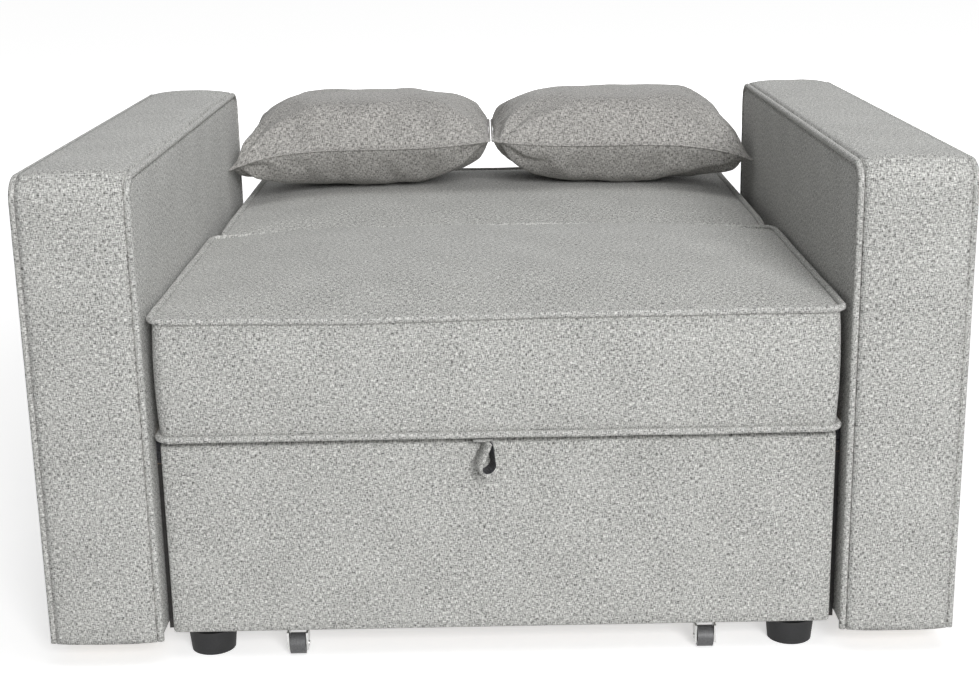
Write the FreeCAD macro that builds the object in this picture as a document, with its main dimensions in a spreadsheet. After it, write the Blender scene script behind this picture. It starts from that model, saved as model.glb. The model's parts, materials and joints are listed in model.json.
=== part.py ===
import FreeCAD, Part
import Sketcher
import math
import os
import re

# Convertible chair bed: an upholstered chair with wide box arms, a backrest that folds flat to the rear
# and a drawer with a second mattress that rolls out from under the seat.
# Frame: +Z up, the chair faces -Y, origin on the floor at the middle of the chair with its back laid flat.
# Lengths in millimetres. Depths are counted from the front face of the arms, towards the rear.

doc = FreeCAD.newDocument("ConvertibleChairBed")
sheet = doc.addObject("Spreadsheet::Sheet", "Dims")

DIMENSIONS = [
    ("overall_width", 1100),      # outside of both arms
    ("arm_width", 138),
    ("arm_depth", 850),
    ("arm_top", 602),             # height of the arms above the floor
    ("underside", 30),            # height of the lower edge above the floor
    ("side_padding", 8),
    ("band_padding", 18),         # padded strip over front, top and rear of an arm
    ("band_radius", 28),          # rounding of the arm where front and top meet
    ("welt", 8),                  # piping, outside diameter
    ("ply", 12),
    ("board", 18),                # thickness of the base boards
    ("rail", 22),                 # width of the timber rails of seat and back
    ("base_start", 40),
    ("base_inset", 20),           # rear of the base ahead of the rear of the arms
    ("base_top", 245),
    ("bolt", 8),
    ("bolt_head", 20),
    ("head_rise", 6),
    ("block_depth", 60),
    ("foot_size", 60),
    ("foot_inset", 52),           # middle of a foot, from the inner side of the arm
    ("stud", 8),
    ("seat_gap", 8),              # between seat cushion and arm
    ("seat_start", -4),           # front of the seat cushion, just ahead of the arms
    ("seat_depth", 482),
    ("seat_bottom", 286),
    ("seat_top", 433),
    ("seat_crown", 24),
    ("cushion_corner", 18),
    ("web_gap", 3),               # room for the webbing between frame and cushion
    ("web_width", 50),
    ("pivot_gap", 40),            # hinge behind the rear of the seat cushion
    ("pivot_height", 410),
    ("pivot_pin", 10),
    ("plate", 4),                 # thickness of the hinge plates
    ("plate_round", 15),
    ("plate_drop", 145),
    ("hinge_reach", 80),
    ("hinge_gap", 15),            # between the inner side of the chair arm and the hinge arm
    ("small_bolt", 6),
    ("small_head", 12),
    ("back_gap", 18),             # between back cushion and arm
    ("back_lead", 28),            # back cushion ahead of the hinge
    ("back_lip", 20),             # back cushion behind its frame
    ("back_frame_gap", 29),
    ("back_frame_lead", 3),       # back frame ahead of the hinge
    ("back_frame_depth", 515),
    ("back_frame_bottom", 305),
    ("back_frame_rise", 38),
    ("sheet", 3),                 # thin covers of the back frame
    ("back_top", 433),
    ("back_crown", 12),
    ("panel_gap", 7),             # between front panel and arm
    ("panel_setback", 12),        # front panel behind the front of the arms
    ("panel_bottom", 32),
    ("panel_top", 279),
    ("panel_thickness", 25),
    ("panel_board", 15),
    ("panel_wrap", 6),            # padding round the edge of the front board
    ("drawer_inset", 25),         # rear of the drawer ahead of the rear of the base
    ("rail_gap", 56),             # outside of a drawer rail, from the inner side of the arm
    ("rail_bottom", 50),
    ("rail_height", 60),
    ("runner_wall", 3),
    ("runner_width", 20),
    ("roller_pin", 8),
    ("roller_size", 29),
    ("roller_width", 12),
    ("roller_height", 84),
    ("caster_size", 26),
    ("caster_width", 26),
    ("caster_inset", 161),        # middle of a caster, from the inner side of the arm
    ("caster_depth", 26),
    ("caster_pin", 6),
    ("caster_foot", 35),          # length of the caster's mounting plate
    ("screw", 4),
    ("tube", 18),                 # square tube of the platform
    ("platform_start", 60),
    ("platform_end_gap", 90),     # rear of the platform ahead of the rear of the drawer
    ("platform_bottom", 111),
    ("platform_gap", 84),
    ("link_length", 180),
    ("link_rise", 22),
    ("link_pin", 8),
    ("slat_width", 55),
    ("slat_rise", 8),
    ("slat_inset", 28),
    ("mattress_gap", 34),         # between mattress and the inner side of the arm
    ("mattress_lip", 15),         # mattress past each end of the platform
    ("mattress_top", 215),
    ("mattress_crown", 6),
    ("mattress_corner", 25),
    ("pillow_gap", 4),            # between a pillow and the arm beside it
    ("pillow_split", 2),          # half the gap between the pillows
    ("pillow_depth", 345),
    ("pillow_height", 150),
    ("pillow_shift", 182),        # front of the pillows behind the hinge
    ("strap_width", 24),
    ("strap_place", 18),          # middle of the pull strap, left of the middle of the chair
    ("strap_reach", 18),          # how far the strap stands out ahead of the arms
    ("strap_drop", 40),
    ("strap_tail", 34),
    ("strap_cloth", 2.4),
    ("slack", 0.3),               # gap between pieces that lie against each other
    ("play", 0.12),               # a turning bore is this much wider than its pin
    ("grip", 0.04),               # a holding bore is this much wider than its pin
]
for row, (alias, number) in enumerate(DIMENSIONS, start=1):
    sheet.set("A%d" % row, alias)
    sheet.set("B%d" % row, str(number))
    sheet.setAlias("B%d" % row, alias)
doc.recompute()

nodes = []


def value(expression):
    """Present value of an expression written in the names of the sheet."""
    sheet.set("D1", "=" + expression)
    sheet.recompute()
    return float(sheet.get("D1"))


def bind(thing, prop, expression):
    """Tie a property to an expression written in the names of the sheet."""
    thing.setExpression(prop, re.sub(r"[a-z][a-z_]+", r"Dims.\g<0>", expression))


def place(thing, x, y, z):
    for axis, expression in zip("xyz", (x, y, z)):
        bind(thing, "Placement.Base." + axis, expression)


def node(thing, label):
    """Name a finished piece and put it on the list of pieces to write."""
    thing.Label = label
    nodes.append(thing)
    return thing


def box(label, corner, extent):
    """Block from its lower left front corner and its extent, all as expressions."""
    solid = doc.addObject("Part::Box", label)
    for prop, expression in zip(("Length", "Width", "Height"), extent):
        bind(solid, prop, expression)
    place(solid, *corner)
    return solid


TURNS = {
    "X": FreeCAD.Rotation(FreeCAD.Vector(0, 1, 0), 90),
    "Y": FreeCAD.Rotation(FreeCAD.Vector(1, 0, 0), -90),
    "Z": FreeCAD.Rotation(),
}


def bar(label, start, diameter, length, direction="X"):
    """Cylinder from the middle of its lower end, along X, Y or Z."""
    solid = doc.addObject("Part::Cylinder", label)
    bind(solid, "Radius", "(%s) / 2" % diameter)
    bind(solid, "Height", length)
    solid.Placement.Rotation = TURNS[direction]
    place(solid, *start)
    return solid


def group(label, members):
    """Several separate solids that make up one named piece."""
    compound = doc.addObject("Part::Compound", label)
    compound.Links = members
    return compound


def fused(label, members):
    union = doc.addObject("Part::MultiFuse", label)
    union.Shapes = members
    return union


def cut(label, base, tools):
    """Take the tools away from the base."""
    result = doc.addObject("Part::Cut", label)
    result.Base = base
    result.Tool = tools[0] if len(tools) == 1 else fused(label + "_tools", tools)
    return result


def sketch_on(body, role, label):
    """Sketch on one of the main planes of a body."""
    plane = next(f for f in body.Origin.OriginFeatures if f.Role == role)
    sketch = body.newObject("Sketcher::SketchObject", label)
    sketch.AttachmentSupport = [(plane, "")]
    sketch.MapMode = "FlatFace"
    return sketch


def measure(sketch, kind, places, expression):
    """Add a dimension to a sketch and tie it to an expression."""
    index = sketch.addConstraint(Sketcher.Constraint(kind, *places, value(expression)))
    bind(sketch, "Constraints[%d]" % index, expression)


def line(sketch, start, end):
    points = [FreeCAD.Vector(p[0], p[1], 0) for p in (start, end)]
    return sketch.addGeometry(Part.LineSegment(*points), False)


def quarter(sketch, middle, radius, quadrant):
    """Quarter circle that starts at quadrant times 90 degrees."""
    ring = Part.Circle(FreeCAD.Vector(middle[0], middle[1], 0), FreeCAD.Vector(0, 0, 1), radius)
    start = quadrant * math.pi / 2
    return sketch.addGeometry(Part.ArcOfCircle(ring, start, start + math.pi / 2), False)


def outline(sketch, corners):
    """Closed polygon in a sketch through corners given as pairs of expressions."""
    points = [(value(x), value(y)) for x, y in corners]
    first = sketch.GeometryCount
    count = len(corners)
    for k in range(count):
        line(sketch, points[k], points[(k + 1) % count])
    for k in range(count):
        sketch.addConstraint(Sketcher.Constraint("Coincident", first + k, 2, first + (k + 1) % count, 1))
    for k, (x, y) in enumerate(corners):
        measure(sketch, "DistanceX", (-1, 1, first + k, 1), x)
        measure(sketch, "DistanceY", (-1, 1, first + k, 1), y)


def rectangle(sketch, left, low, width, height):
    right, top = "%s + %s" % (left, width), "%s + %s" % (low, height)
    outline(sketch, [(left, low), (right, low), (right, top), (left, top)])


def circle(sketch, x, y, diameter):
    """Circle in a sketch, placed and sized by expressions."""
    middle = FreeCAD.Vector(value(x), value(y), 0)
    ring = sketch.addGeometry(Part.Circle(middle, FreeCAD.Vector(0, 0, 1), value(diameter) / 2), False)
    measure(sketch, "DistanceX", (-1, 1, ring, 3), x)
    measure(sketch, "DistanceY", (-1, 1, ring, 3), y)
    measure(sketch, "Diameter", (ring,), diameter)


def arch(sketch, left, low, width, height, radius):
    """Open path that goes up, over and down again, with rounded upper corners."""
    x, y, w, h, r = (value(e) for e in (left, low, width, height, radius))
    up = line(sketch, (x, y), (x, y + h - r))
    near = quarter(sketch, (x + r, y + h - r), r, 1)
    over = line(sketch, (x + r, y + h), (x + w - r, y + h))
    far = quarter(sketch, (x + w - r, y + h - r), r, 0)
    down = line(sketch, (x + w, y + h - r), (x + w, y))
    for places in ((up, 2, near, 2), (near, 1, over, 1), (over, 2, far, 2), (far, 1, down, 1)):
        sketch.addConstraint(Sketcher.Constraint("Tangent", *places))
    for kind, edge in (("Vertical", up), ("Horizontal", over), ("Vertical", down)):
        sketch.addConstraint(Sketcher.Constraint(kind, edge))
    measure(sketch, "Radius", (near,), radius)
    measure(sketch, "Radius", (far,), radius)
    measure(sketch, "DistanceX", (-1, 1, up, 1), left)
    measure(sketch, "DistanceY", (-1, 1, up, 1), low)
    measure(sketch, "DistanceX", (up, 1, down, 2), width)
    measure(sketch, "DistanceY", (up, 1, over, 1), height)
    measure(sketch, "DistanceY", (-1, 1, down, 2), low)


def loop(sketch, left, low, width, height, radius):
    """Closed rectangular path with rounded corners that starts on its lower edge."""
    x, y, w, h, r = (value(e) for e in (left, low, width, height, radius))
    edges = [
        line(sketch, (x + r, y), (x + w - r, y)),
        quarter(sketch, (x + w - r, y + r), r, 3),
        line(sketch, (x + w, y + r), (x + w, y + h - r)),
        quarter(sketch, (x + w - r, y + h - r), r, 0),
        line(sketch, (x + w - r, y + h), (x + r, y + h)),
        quarter(sketch, (x + r, y + h - r), r, 1),
        line(sketch, (x, y + h - r), (x, y + r)),
        quarter(sketch, (x + r, y + r), r, 2),
    ]
    for k in range(8):
        sketch.addConstraint(Sketcher.Constraint("Tangent", edges[k], 2, edges[(k + 1) % 8], 1))
    for k in range(4):
        sketch.addConstraint(Sketcher.Constraint("Horizontal" if k % 2 == 0 else "Vertical", edges[2 * k]))
    for k in range(1, 4):
        sketch.addConstraint(Sketcher.Constraint("Equal", edges[1], edges[2 * k + 1]))
    measure(sketch, "Radius", (edges[1],), radius)
    measure(sketch, "DistanceX", (-1, 1, edges[0], 1), "%s + %s" % (left, radius))
    measure(sketch, "DistanceY", (-1, 1, edges[0], 1), low)
    measure(sketch, "DistanceX", (edges[7], 1, edges[1], 2), width)
    measure(sketch, "DistanceY", (edges[0], 1, edges[4], 1), height)


def pad(body, sketch, length, middle=False):
    feature = body.newObject("PartDesign::Pad", sketch.Name + "_pad")
    feature.Profile = sketch
    feature.Midplane = middle
    bind(feature, "Length", length)
    return feature


def pocket(body, sketch, length, middle=False, reverse=False):
    feature = body.newObject("PartDesign::Pocket", sketch.Name + "_pocket")
    feature.Profile = sketch
    feature.Midplane = middle
    feature.Reversed = reverse
    bind(feature, "Length", length)
    return feature


def rounded(body, feature, chosen, radius):
    """Round those edges of a feature that a test picks out."""
    doc.recompute()
    names = ["Edge%d" % (k + 1) for k, edge in enumerate(feature.Shape.Edges) if chosen(edge)]
    fillet = body.newObject("PartDesign::Fillet", feature.Name + "_round")
    fillet.Base = (feature, names)
    bind(fillet, "Radius", radius)
    return fillet


def along_x_above(height):
    """Test for edges that run along X higher than the given height."""
    def chosen(edge):
        ends = [v.Point for v in edge.Vertexes]
        if len(ends) < 2 or min(p.z for p in ends) < height:
            return False
        return abs(ends[0].y - ends[1].y) < 0.001 and abs(ends[0].z - ends[1].z) < 0.001
    return chosen


def piping(body, path, profile):
    """Round cord along a path."""
    cord = body.newObject("PartDesign::AdditivePipe", body.Name + "_cord")
    cord.Profile = profile
    cord.Spine = (path, [""])
    return cord


def rounded_wire(half_width, near, far, radius, height):
    """Closed wire at one height: a rectangle with rounded corners, centred on the middle plane."""
    x, r = half_width, radius
    corners = [(x - r, near + r, -1), (x - r, far - r, 0), (-x + r, far - r, 1), (-x + r, near + r, 2)]
    arcs = []
    for cx, cy, turn in corners:
        ring = Part.Circle(FreeCAD.Vector(cx, cy, height), FreeCAD.Vector(0, 0, 1), r)
        arcs.append(Part.ArcOfCircle(ring, turn * math.pi / 2, (turn + 1) * math.pi / 2).toShape())
    edges = []
    for k, arc in enumerate(arcs):
        edges.append(arc)
        end, start = arc.Vertexes[-1].Point, arcs[(k + 1) % 4].Vertexes[0].Point
        edges.append(Part.LineSegment(end, start).toShape())
    return Part.Wire(Part.__sortEdges__(edges))


def soft(label, wires):
    """Soft form through a stack of closed wires."""
    form = doc.addObject("Part::Feature", label)
    form.Shape = Part.makeLoft(wires, True, True)
    return form


def cushion(label, half_width, near, far, bottom, top, crown, corner):
    """Box cushion: sides drawn in at both seams, a crowned upper face and a flat lower face."""
    mid = (bottom + top) / 2
    nip = value("welt") / 2
    levels = [
        (nip + 4, bottom),
        (nip, bottom + 2 * nip),
        (-2, mid),
        (nip, top - 2 * nip),
        (2 * nip + 3, top),
        (nip + 40, top + 0.45 * crown),
        (nip + 85, top + 0.8 * crown),
        (nip + 140, top + crown),
    ]
    wires = []
    for inset, height in levels:
        wires.append(rounded_wire(half_width - inset, near + inset, far - inset, corner, height))
    return soft(label, wires)


INNER = "(overall_width / 2 - arm_width)"
OUTER = "(overall_width / 2)"
SEAT_HALF = "(%s - seat_gap)" % INNER
BACK_HALF = "(%s - back_gap)" % INNER
FRAME_HALF = "(%s - back_frame_gap)" % INNER
PANEL_HALF = "(%s - panel_gap)" % INNER
RAIL_HALF = "(%s - rail_gap)" % INNER
PLATFORM_HALF = "(%s - platform_gap)" % INNER
MATTRESS_HALF = "(%s - mattress_gap)" % INNER
PILLOW_HALF = "((%s - pillow_gap - pillow_split) / 2)" % INNER
SEAT_END = "(seat_start + seat_depth)"
PIVOT_DEPTH = "(%s + pivot_gap)" % SEAT_END
BACK_START = "(%s - back_lead)" % PIVOT_DEPTH
BACK_END = "(%s - back_frame_lead + back_frame_depth + back_lip)" % PIVOT_DEPTH
DRAWER_END = "(arm_depth - base_inset - drawer_inset)"
PLATFORM_LENGTH = "(%s - platform_end_gap - platform_start)" % DRAWER_END
# The origin lies midway between the strap and the end of the back.
FRONT = "((strap_reach - %s) / 2)" % BACK_END
SIDES = (("left", -1), ("right", 1))


def beside(side, near, thickness):
    """Lower X of a layer that starts at distance near from the middle plane, on one side."""
    return "%s" % near if side > 0 else "-(%s) - (%s)" % (near, thickness)


def from_front(depth):
    """Y of a place that lies some depth behind the front of the arms."""
    return "%s + %s" % (FRONT, depth)


# Bolts that hold the arms to the base.
BASE_LENGTH = "(arm_depth - base_start - base_inset)"
BOLT_DEPTHS = ["base_start + %g * %s" % (share, BASE_LENGTH) for share in (0.1, 0.48, 0.86)]
BOLT_HEIGHT = "base_top - 2 * bolt_head"


def bolt_holes(label, side, diameter):
    """Bars through base, arm padding and arm frame, for bolts or for their holes."""
    length = "head_rise + board + side_padding + ply + 4"
    start = beside(side, "%s - board - head_rise - 2" % INNER, length)
    bars = []
    for k, depth in enumerate(BOLT_DEPTHS):
        place_at = (start, from_front(depth), BOLT_HEIGHT)
        bars.append(bar("%s_%d" % (label, k), place_at, diameter, length))
    return bars


def hinge_bolt_places():
    """Y and Z of the two bolts that hold a hinge plate to the arm."""
    return [(from_front("%s %s" % (PIVOT_DEPTH, shift)), "pivot_height - plate_drop + plate_round")
            for shift in ("- 0.75 * plate_round", "+ 0.75 * plate_round")]


def hinge_bolt_holes(label, side):
    """Bars through arm padding and arm frame, for the holes of the hinge bolts."""
    length = "side_padding + ply + 4"
    return [bar("%s_hinge_hole_%d" % (label, k), (beside(side, INNER + " - 2", length),) + at, "small_bolt + 0.5",
                length) for k, at in enumerate(hinge_bolt_places())]


def arm(name, side):
    """Timber box with a padded strip over front, top and rear, a padded panel on each side and piping."""
    first = "%s + side_padding + slack" % INNER
    across = "arm_width - 2 * (side_padding + slack + ply)"
    last = "%s - side_padding - slack - ply" % OUTER
    near = FRONT + " + band_padding + slack"
    depth = "arm_depth - 2 * (band_padding + slack)"
    rise = "arm_top - band_padding - slack - underside"
    inner_board = box(name + "_inner_board", (beside(side, first, "ply"), near, "underside"), ("ply", depth, rise))
    boards = [
        cut(name + "_inner_board_bored", inner_board,
            bolt_holes(name + "_frame_hole", side, "bolt + 1") + hinge_bolt_holes(name + "_frame", side)),
        box(name + "_outer_board", (beside(side, last, "ply"), near, "underside"), ("ply", depth, rise)),
    ]
    between = beside(side, first + " + ply", across)
    for k, start in enumerate((near, near + " + (%s) / 2" % depth, near + " + %s - ply" % depth)):
        boards.append(box("%s_rib_%d" % (name, k), (between, start, "underside"), (across, "ply", rise)))
    half = "((%s - ply) / 2 - ply / 2)" % depth
    for k, start in enumerate((near + " + ply", near + " + (%s) / 2 + ply" % depth)):
        length = half if k == 0 else "(%s) / 2 - 2 * ply" % depth
        for j, low in enumerate(("underside", "underside + %s - ply" % rise)):
            board_at = (between, start, low)
            boards.append(box("%s_floor_%d_%d" % (name, k, j), board_at, (across, length, "ply")))
    node(group(name + "_frame", boards), name + "_frame")

    band = new_band(name, side)
    node(band, name + "_boxing")
    for part, x in (("inner", INNER), ("outer", "%s - side_padding" % OUTER)):
        panel = side_panel("%s_%s_side" % (name, part), beside(side, x, "side_padding"))
        if part == "inner":
            panel = cut(name + "_inner_side_bored", panel,
                        bolt_holes(name + "_side_hole", side, "bolt + 1") + hinge_bolt_holes(name + "_side", side))
        node(panel, "%s_%s_side" % (name, part))
    cords = []
    for part, x in (("inner", INNER), ("outer", "%s - welt" % OUTER)):
        cords.append(arm_piping("%s_%s_piping" % (name, part), beside(side, x + " + welt / 2", "0")))
    node(group(name + "_piping", cords), name + "_piping")


def new_band(name, side):
    """Padded strip of an arm, with rounded upper corners at front and rear."""
    body = doc.addObject("PartDesign::Body", name + "_band")
    outside = sketch_on(body, "YZ_Plane", name + "_band_outside")
    rectangle(outside, FRONT, "underside", "arm_depth", "arm_top - underside")
    strip = pad(body, outside, "arm_width - 2 * (side_padding + slack)", middle=True)
    rounded(body, strip, along_x_above(value("arm_top") - 1), "band_radius")
    inside = sketch_on(body, "YZ_Plane", name + "_band_inside")
    rectangle(inside, FRONT + " + band_padding", "underside - 1", "arm_depth - 2 * band_padding",
              "arm_top - underside - band_padding + 1")
    pocket(body, inside, "2 * arm_width", middle=True)
    place(body, "%d * (%s - arm_width / 2)" % (side, OUTER), "0", "0")
    return body


def side_panel(label, x):
    """Flat padded panel that lies inside the piping of an arm."""
    body = doc.addObject("PartDesign::Body", label + "_body")
    face = sketch_on(body, "YZ_Plane", label + "_face")
    rectangle(face, FRONT + " + welt + slack", "underside", "arm_depth - 2 * (welt + slack)",
              "arm_top - underside - welt - slack")
    panel = pad(body, face, "side_padding")
    rounded(body, panel, along_x_above(value("arm_top - welt") - 1), "band_radius - welt")
    place(body, x, "0", "0")
    return body


def arm_piping(label, x):
    """Cord up the front, over the top and down the rear of an arm."""
    body = doc.addObject("PartDesign::Body", label + "_body")
    path = sketch_on(body, "YZ_Plane", label + "_path")
    arch(path, FRONT + " + welt / 2", "underside", "arm_depth - welt", "arm_top - underside - welt / 2",
         "band_radius - welt / 2")
    profile = sketch_on(body, "XY_Plane", label + "_profile")
    circle(profile, "0", FRONT + " + welt / 2", "welt")
    bind(profile, "AttachmentOffset.Base.z", "underside")
    piping(body, path, profile)
    place(body, x, "0", "0")
    return body


for side_name, side_sign in SIDES:
    arm(side_name + "_arm", side_sign)


# Base: two long boards beside the drawer, a rear board, corner blocks and feet.
base_low = "underside + ply"
for side_name, side_sign in SIDES:
    blank = box(
        side_name + "_base_blank",
        (beside(side_sign, INNER + " - board", "board - slack"), from_front("base_start"), base_low),
        ("board - slack", BASE_LENGTH, "base_top - underside - ply"),
    )
    bored = cut(side_name + "_base_bored", blank, bolt_holes(side_name + "_base_hole", side_sign, "bolt + 1"))
    node(bored, side_name + "_base_board")
rear = box(
    "rear_board",
    ("-(%s - board - slack)" % INNER, from_front("arm_depth - base_inset - board"), base_low),
    ("2 * (%s - board - slack)" % INNER, "board", "base_top - underside - ply"),
)
node(rear, "rear_base_board")

BLOCK_STARTS = (("front", "base_start"), ("rear", "(arm_depth - base_inset - board - block_depth - 2)"))
blocks = []
for end_name, block_start in BLOCK_STARTS:
    foot_depth = block_start + " + " + ("10" if end_name == "front" else "block_depth / 2")
    for side_name, side_sign in SIDES:
        name = "%s_%s" % (end_name, side_name)
        middle = ("%d * (%s - foot_inset)" % (side_sign, INNER), from_front(foot_depth))
        width = "foot_inset - slack + foot_size / 2"
        near = "%s - foot_inset - foot_size / 2" % INNER
        blank = box(name + "_block", (beside(side_sign, near, width), from_front(block_start), "underside"),
                    (width, "block_depth", "ply - slack"))
        hole = bar(name + "_block_hole", middle + ("underside - 1",), "stud + 0.2", "ply + 2", "Z")
        blocks.append(cut(name + "_block_bored", blank, [hole]))
        body = doc.addObject("Part::Cone", name + "_foot_pad")
        bind(body, "Radius1", "foot_size / 2 - 3")
        bind(body, "Radius2", "foot_size / 2")
        bind(body, "Height", "underside - slack")
        place(body, *middle, "0")
        stud = bar(name + "_foot_stud", middle + ("underside - slack - 1",), "stud", "ply", "Z")
        node(fused(name + "_foot_whole", [body, stud]), name + "_foot")
node(group("corner_block_set", blocks), "corner_blocks")

# Bolts between base and arms: a round head on the inside and a shank into the arm frame.
bolts = []
for side_name, side_sign in SIDES:
    for k, depth in enumerate(BOLT_DEPTHS):
        at = (from_front(depth), BOLT_HEIGHT)
        reach = "board + side_padding + ply"
        head_at = (beside(side_sign, INNER + " - board - head_rise", "head_rise - slack"),) + at
        shank_at = (beside(side_sign, INNER + " - board - slack", reach),) + at
        head = bar("%s_bolt_head_%d" % (side_name, k), head_at, "bolt_head", "head_rise - slack")
        shank = bar("%s_bolt_shank_%d" % (side_name, k), shank_at, "bolt", reach)
        bolts.append(fused("%s_bolt_%d" % (side_name, k), [head, shank]))
node(group("arm_bolt_set", bolts), "arm_bolts")

# Seat: timber frame on the base boards, webbing across it and a box cushion.
seat_frame_rise = "seat_bottom - web_gap - base_top - slack"
seat_frame_low = "base_top + slack"
frame_outside = "(%s - slack)" % INNER
frame_depth = "(%s - web_gap - base_start)" % SEAT_END
rails = []
for side_name, side_sign in SIDES:
    near = "%s - 1.5 * rail" % frame_outside
    rails.append(box(side_name + "_seat_rail",
                     (beside(side_sign, near, "1.5 * rail"), from_front("base_start"), seat_frame_low),
                     ("1.5 * rail", frame_depth, seat_frame_rise)))
seat_inside = "(%s - 1.5 * rail)" % frame_outside
for k, share in enumerate((0, 0.5, 1)):
    start = "base_start + %g * (%s - rail)" % (share, frame_depth)
    rails.append(box("seat_cross_rail_%d" % k, ("-" + seat_inside, from_front(start), seat_frame_low),
                     ("2 * " + seat_inside, "rail", seat_frame_rise)))
node(group("seat_frame_set", rails), "seat_frame")


def webbing(label, count, first, pitch, half_width, low, thickness):
    """Elastic straps that run across a frame."""
    straps = []
    for k in range(count):
        start = ("-(%s)" % half_width, "%s + %d * (%s)" % (first, k, pitch), low)
        straps.append(box("%s_strap_%d" % (label, k), start, ("2 * (%s)" % half_width, "web_width", thickness)))
    return node(group(label + "_set", straps), label)


webbing("seat_webbing", 5, from_front("base_start + web_width / 2"), "(%s - 2 * web_width) / 4" % frame_depth,
        frame_outside + " - 20", "seat_bottom - web_gap + slack", "web_gap - 2 * slack")

seat = cushion("seat_cushion_form", value(SEAT_HALF), value(from_front("seat_start")),
               value(from_front(SEAT_END)), value("seat_bottom"), value("seat_top"),
               value("seat_crown"), value("cushion_corner"))
node(seat, "seat_cushion")


def cushion_cord(label, half_width, near, far, inset, height):
    """Piping around a cushion at one height."""
    corner = "cushion_corner"
    body = doc.addObject("PartDesign::Body", label + "_body")
    path = sketch_on(body, "XY_Plane", label + "_path")
    left = "-(%s) + %g" % (half_width, inset)
    low = "%s + %g" % (near, inset)
    loop(path, left, low, "2 * (%s) - %g" % (half_width, 2 * inset), "%s - (%s) - %g" % (far, near, 2 * inset), corner)
    profile = sketch_on(body, "YZ_Plane", label + "_profile")
    circle(profile, low, "0", "welt")
    bind(profile, "AttachmentOffset.Base.z", "%s + %s" % (left, corner))
    piping(body, path, profile)
    place(body, "0", "0", height)
    return body


seat_near, seat_far = from_front("seat_start"), from_front(SEAT_END)
seat_cords = [
    cushion_cord("seat_upper_piping", SEAT_HALF, seat_near, seat_far, 4.3, "seat_top - 1.2"),
    cushion_cord("seat_lower_piping", SEAT_HALF, seat_near, seat_far, 2.1, "seat_bottom + 2.1"),
]
node(group("seat_piping_set", seat_cords), "seat_piping")

# Runners: a steel channel on each base board, open towards the drawer.
for side_name, side_sign in SIDES:
    runner_length = "%s - board - slack" % BASE_LENGTH
    lower = "roller_height - roller_size / 2 - slack - runner_wall"
    upper = "roller_height + roller_size / 2 + 1"
    wall = INNER + " - board - slack - runner_wall"
    shelf = "(runner_width - runner_wall)"
    parts = [
        box(side_name + "_runner_web", (beside(side_sign, wall, "runner_wall"), from_front("base_start"), lower),
            ("runner_wall", runner_length, "%s + runner_wall - (%s)" % (upper, lower))),
    ]
    for k, low in enumerate((lower, upper)):
        parts.append(box("%s_runner_flange_%d" % (side_name, k),
                         (beside(side_sign, wall + " - " + shelf, shelf), from_front("base_start"), low),
                         (shelf, runner_length, "runner_wall")))
    node(fused(side_name + "_runner_whole", parts), side_name + "_runner")

# Drawer: front panel, rails and cross rails.
cover = doc.addObject("PartDesign::Body", "panel_cover_body")
face = sketch_on(cover, "XZ_Plane", "panel_cover_face")
rectangle(face, "-" + PANEL_HALF, "panel_bottom", "2 * " + PANEL_HALF, "panel_top - panel_bottom")
block = pad(cover, face, "panel_thickness")
doc.recompute()
front_y = min(v.Y for v in block.Shape.Vertexes)


def on_panel_front(edge):
    return all(abs(v.Y - front_y) < 0.001 for v in edge.Vertexes)


rounded(cover, block, on_panel_front, "panel_wrap")
hollow = sketch_on(cover, "XZ_Plane", "panel_cover_hollow")
rectangle(hollow, "-%s + panel_wrap" % PANEL_HALF, "panel_bottom + panel_wrap",
          "2 * (%s - panel_wrap)" % PANEL_HALF, "panel_top - panel_bottom - 2 * panel_wrap")
pocket(cover, hollow, "panel_board + slack", reverse=True)
place(cover, "0", from_front("panel_setback + panel_thickness"), "0")
node(cover, "front_panel_cover")
panel_inset = "(panel_wrap + slack)"
panel = box(
    "front_board",
    ("-%s + %s" % (PANEL_HALF, panel_inset), from_front("panel_setback + panel_thickness - panel_board"),
     "panel_bottom + %s" % panel_inset),
    ("2 * (%s - %s)" % (PANEL_HALF, panel_inset), "panel_board", "panel_top - panel_bottom - 2 * %s" % panel_inset),
)
node(panel, "front_panel_board")

rail_start = from_front("panel_setback + panel_thickness + slack")
rail_length = DRAWER_END + " - panel_setback - panel_thickness - slack"
axle_place = (from_front(DRAWER_END + " - roller_size / 2"), "roller_height")
axles = []
for side_name, side_sign in SIDES:
    blank = box(side_name + "_drawer_blank",
                (beside(side_sign, RAIL_HALF + " - board", "board"), rail_start, "rail_bottom"),
                ("board", rail_length, "rail_height"))
    hole_at = (beside(side_sign, RAIL_HALF + " - board - 1", "board + 2"),) + axle_place
    hole = bar(side_name + "_axle_hole", hole_at, "roller_pin + grip", "board + 2")
    node(cut(side_name + "_drawer_bored", blank, [hole]), "drawer_%s_rail" % side_name)
    axle_length = "%s - board - runner_wall - slack - 1 - %s + board" % (INNER, RAIL_HALF)
    axle_at = (beside(side_sign, RAIL_HALF + " - board", axle_length),) + axle_place
    axles.append(bar(side_name + "_roller_axle", axle_at, "roller_pin", axle_length))
    roller_near = "%s - board - runner_wall - slack - 2.5 - roller_width" % INNER
    roller_at = (beside(side_sign, roller_near, "roller_width"),) + axle_place
    roller = bar(side_name + "_roller_blank", roller_at, "roller_size", "roller_width")
    bore_at = (beside(side_sign, roller_near + " - 1", "roller_width + 2"),) + axle_place
    bore = bar(side_name + "_roller_bore", bore_at, "roller_pin + play", "roller_width + 2")
    node(cut(side_name + "_roller_whole", roller, [bore]), side_name + "_roller")
node(group("roller_axle_set", axles), "roller_axles")

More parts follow.
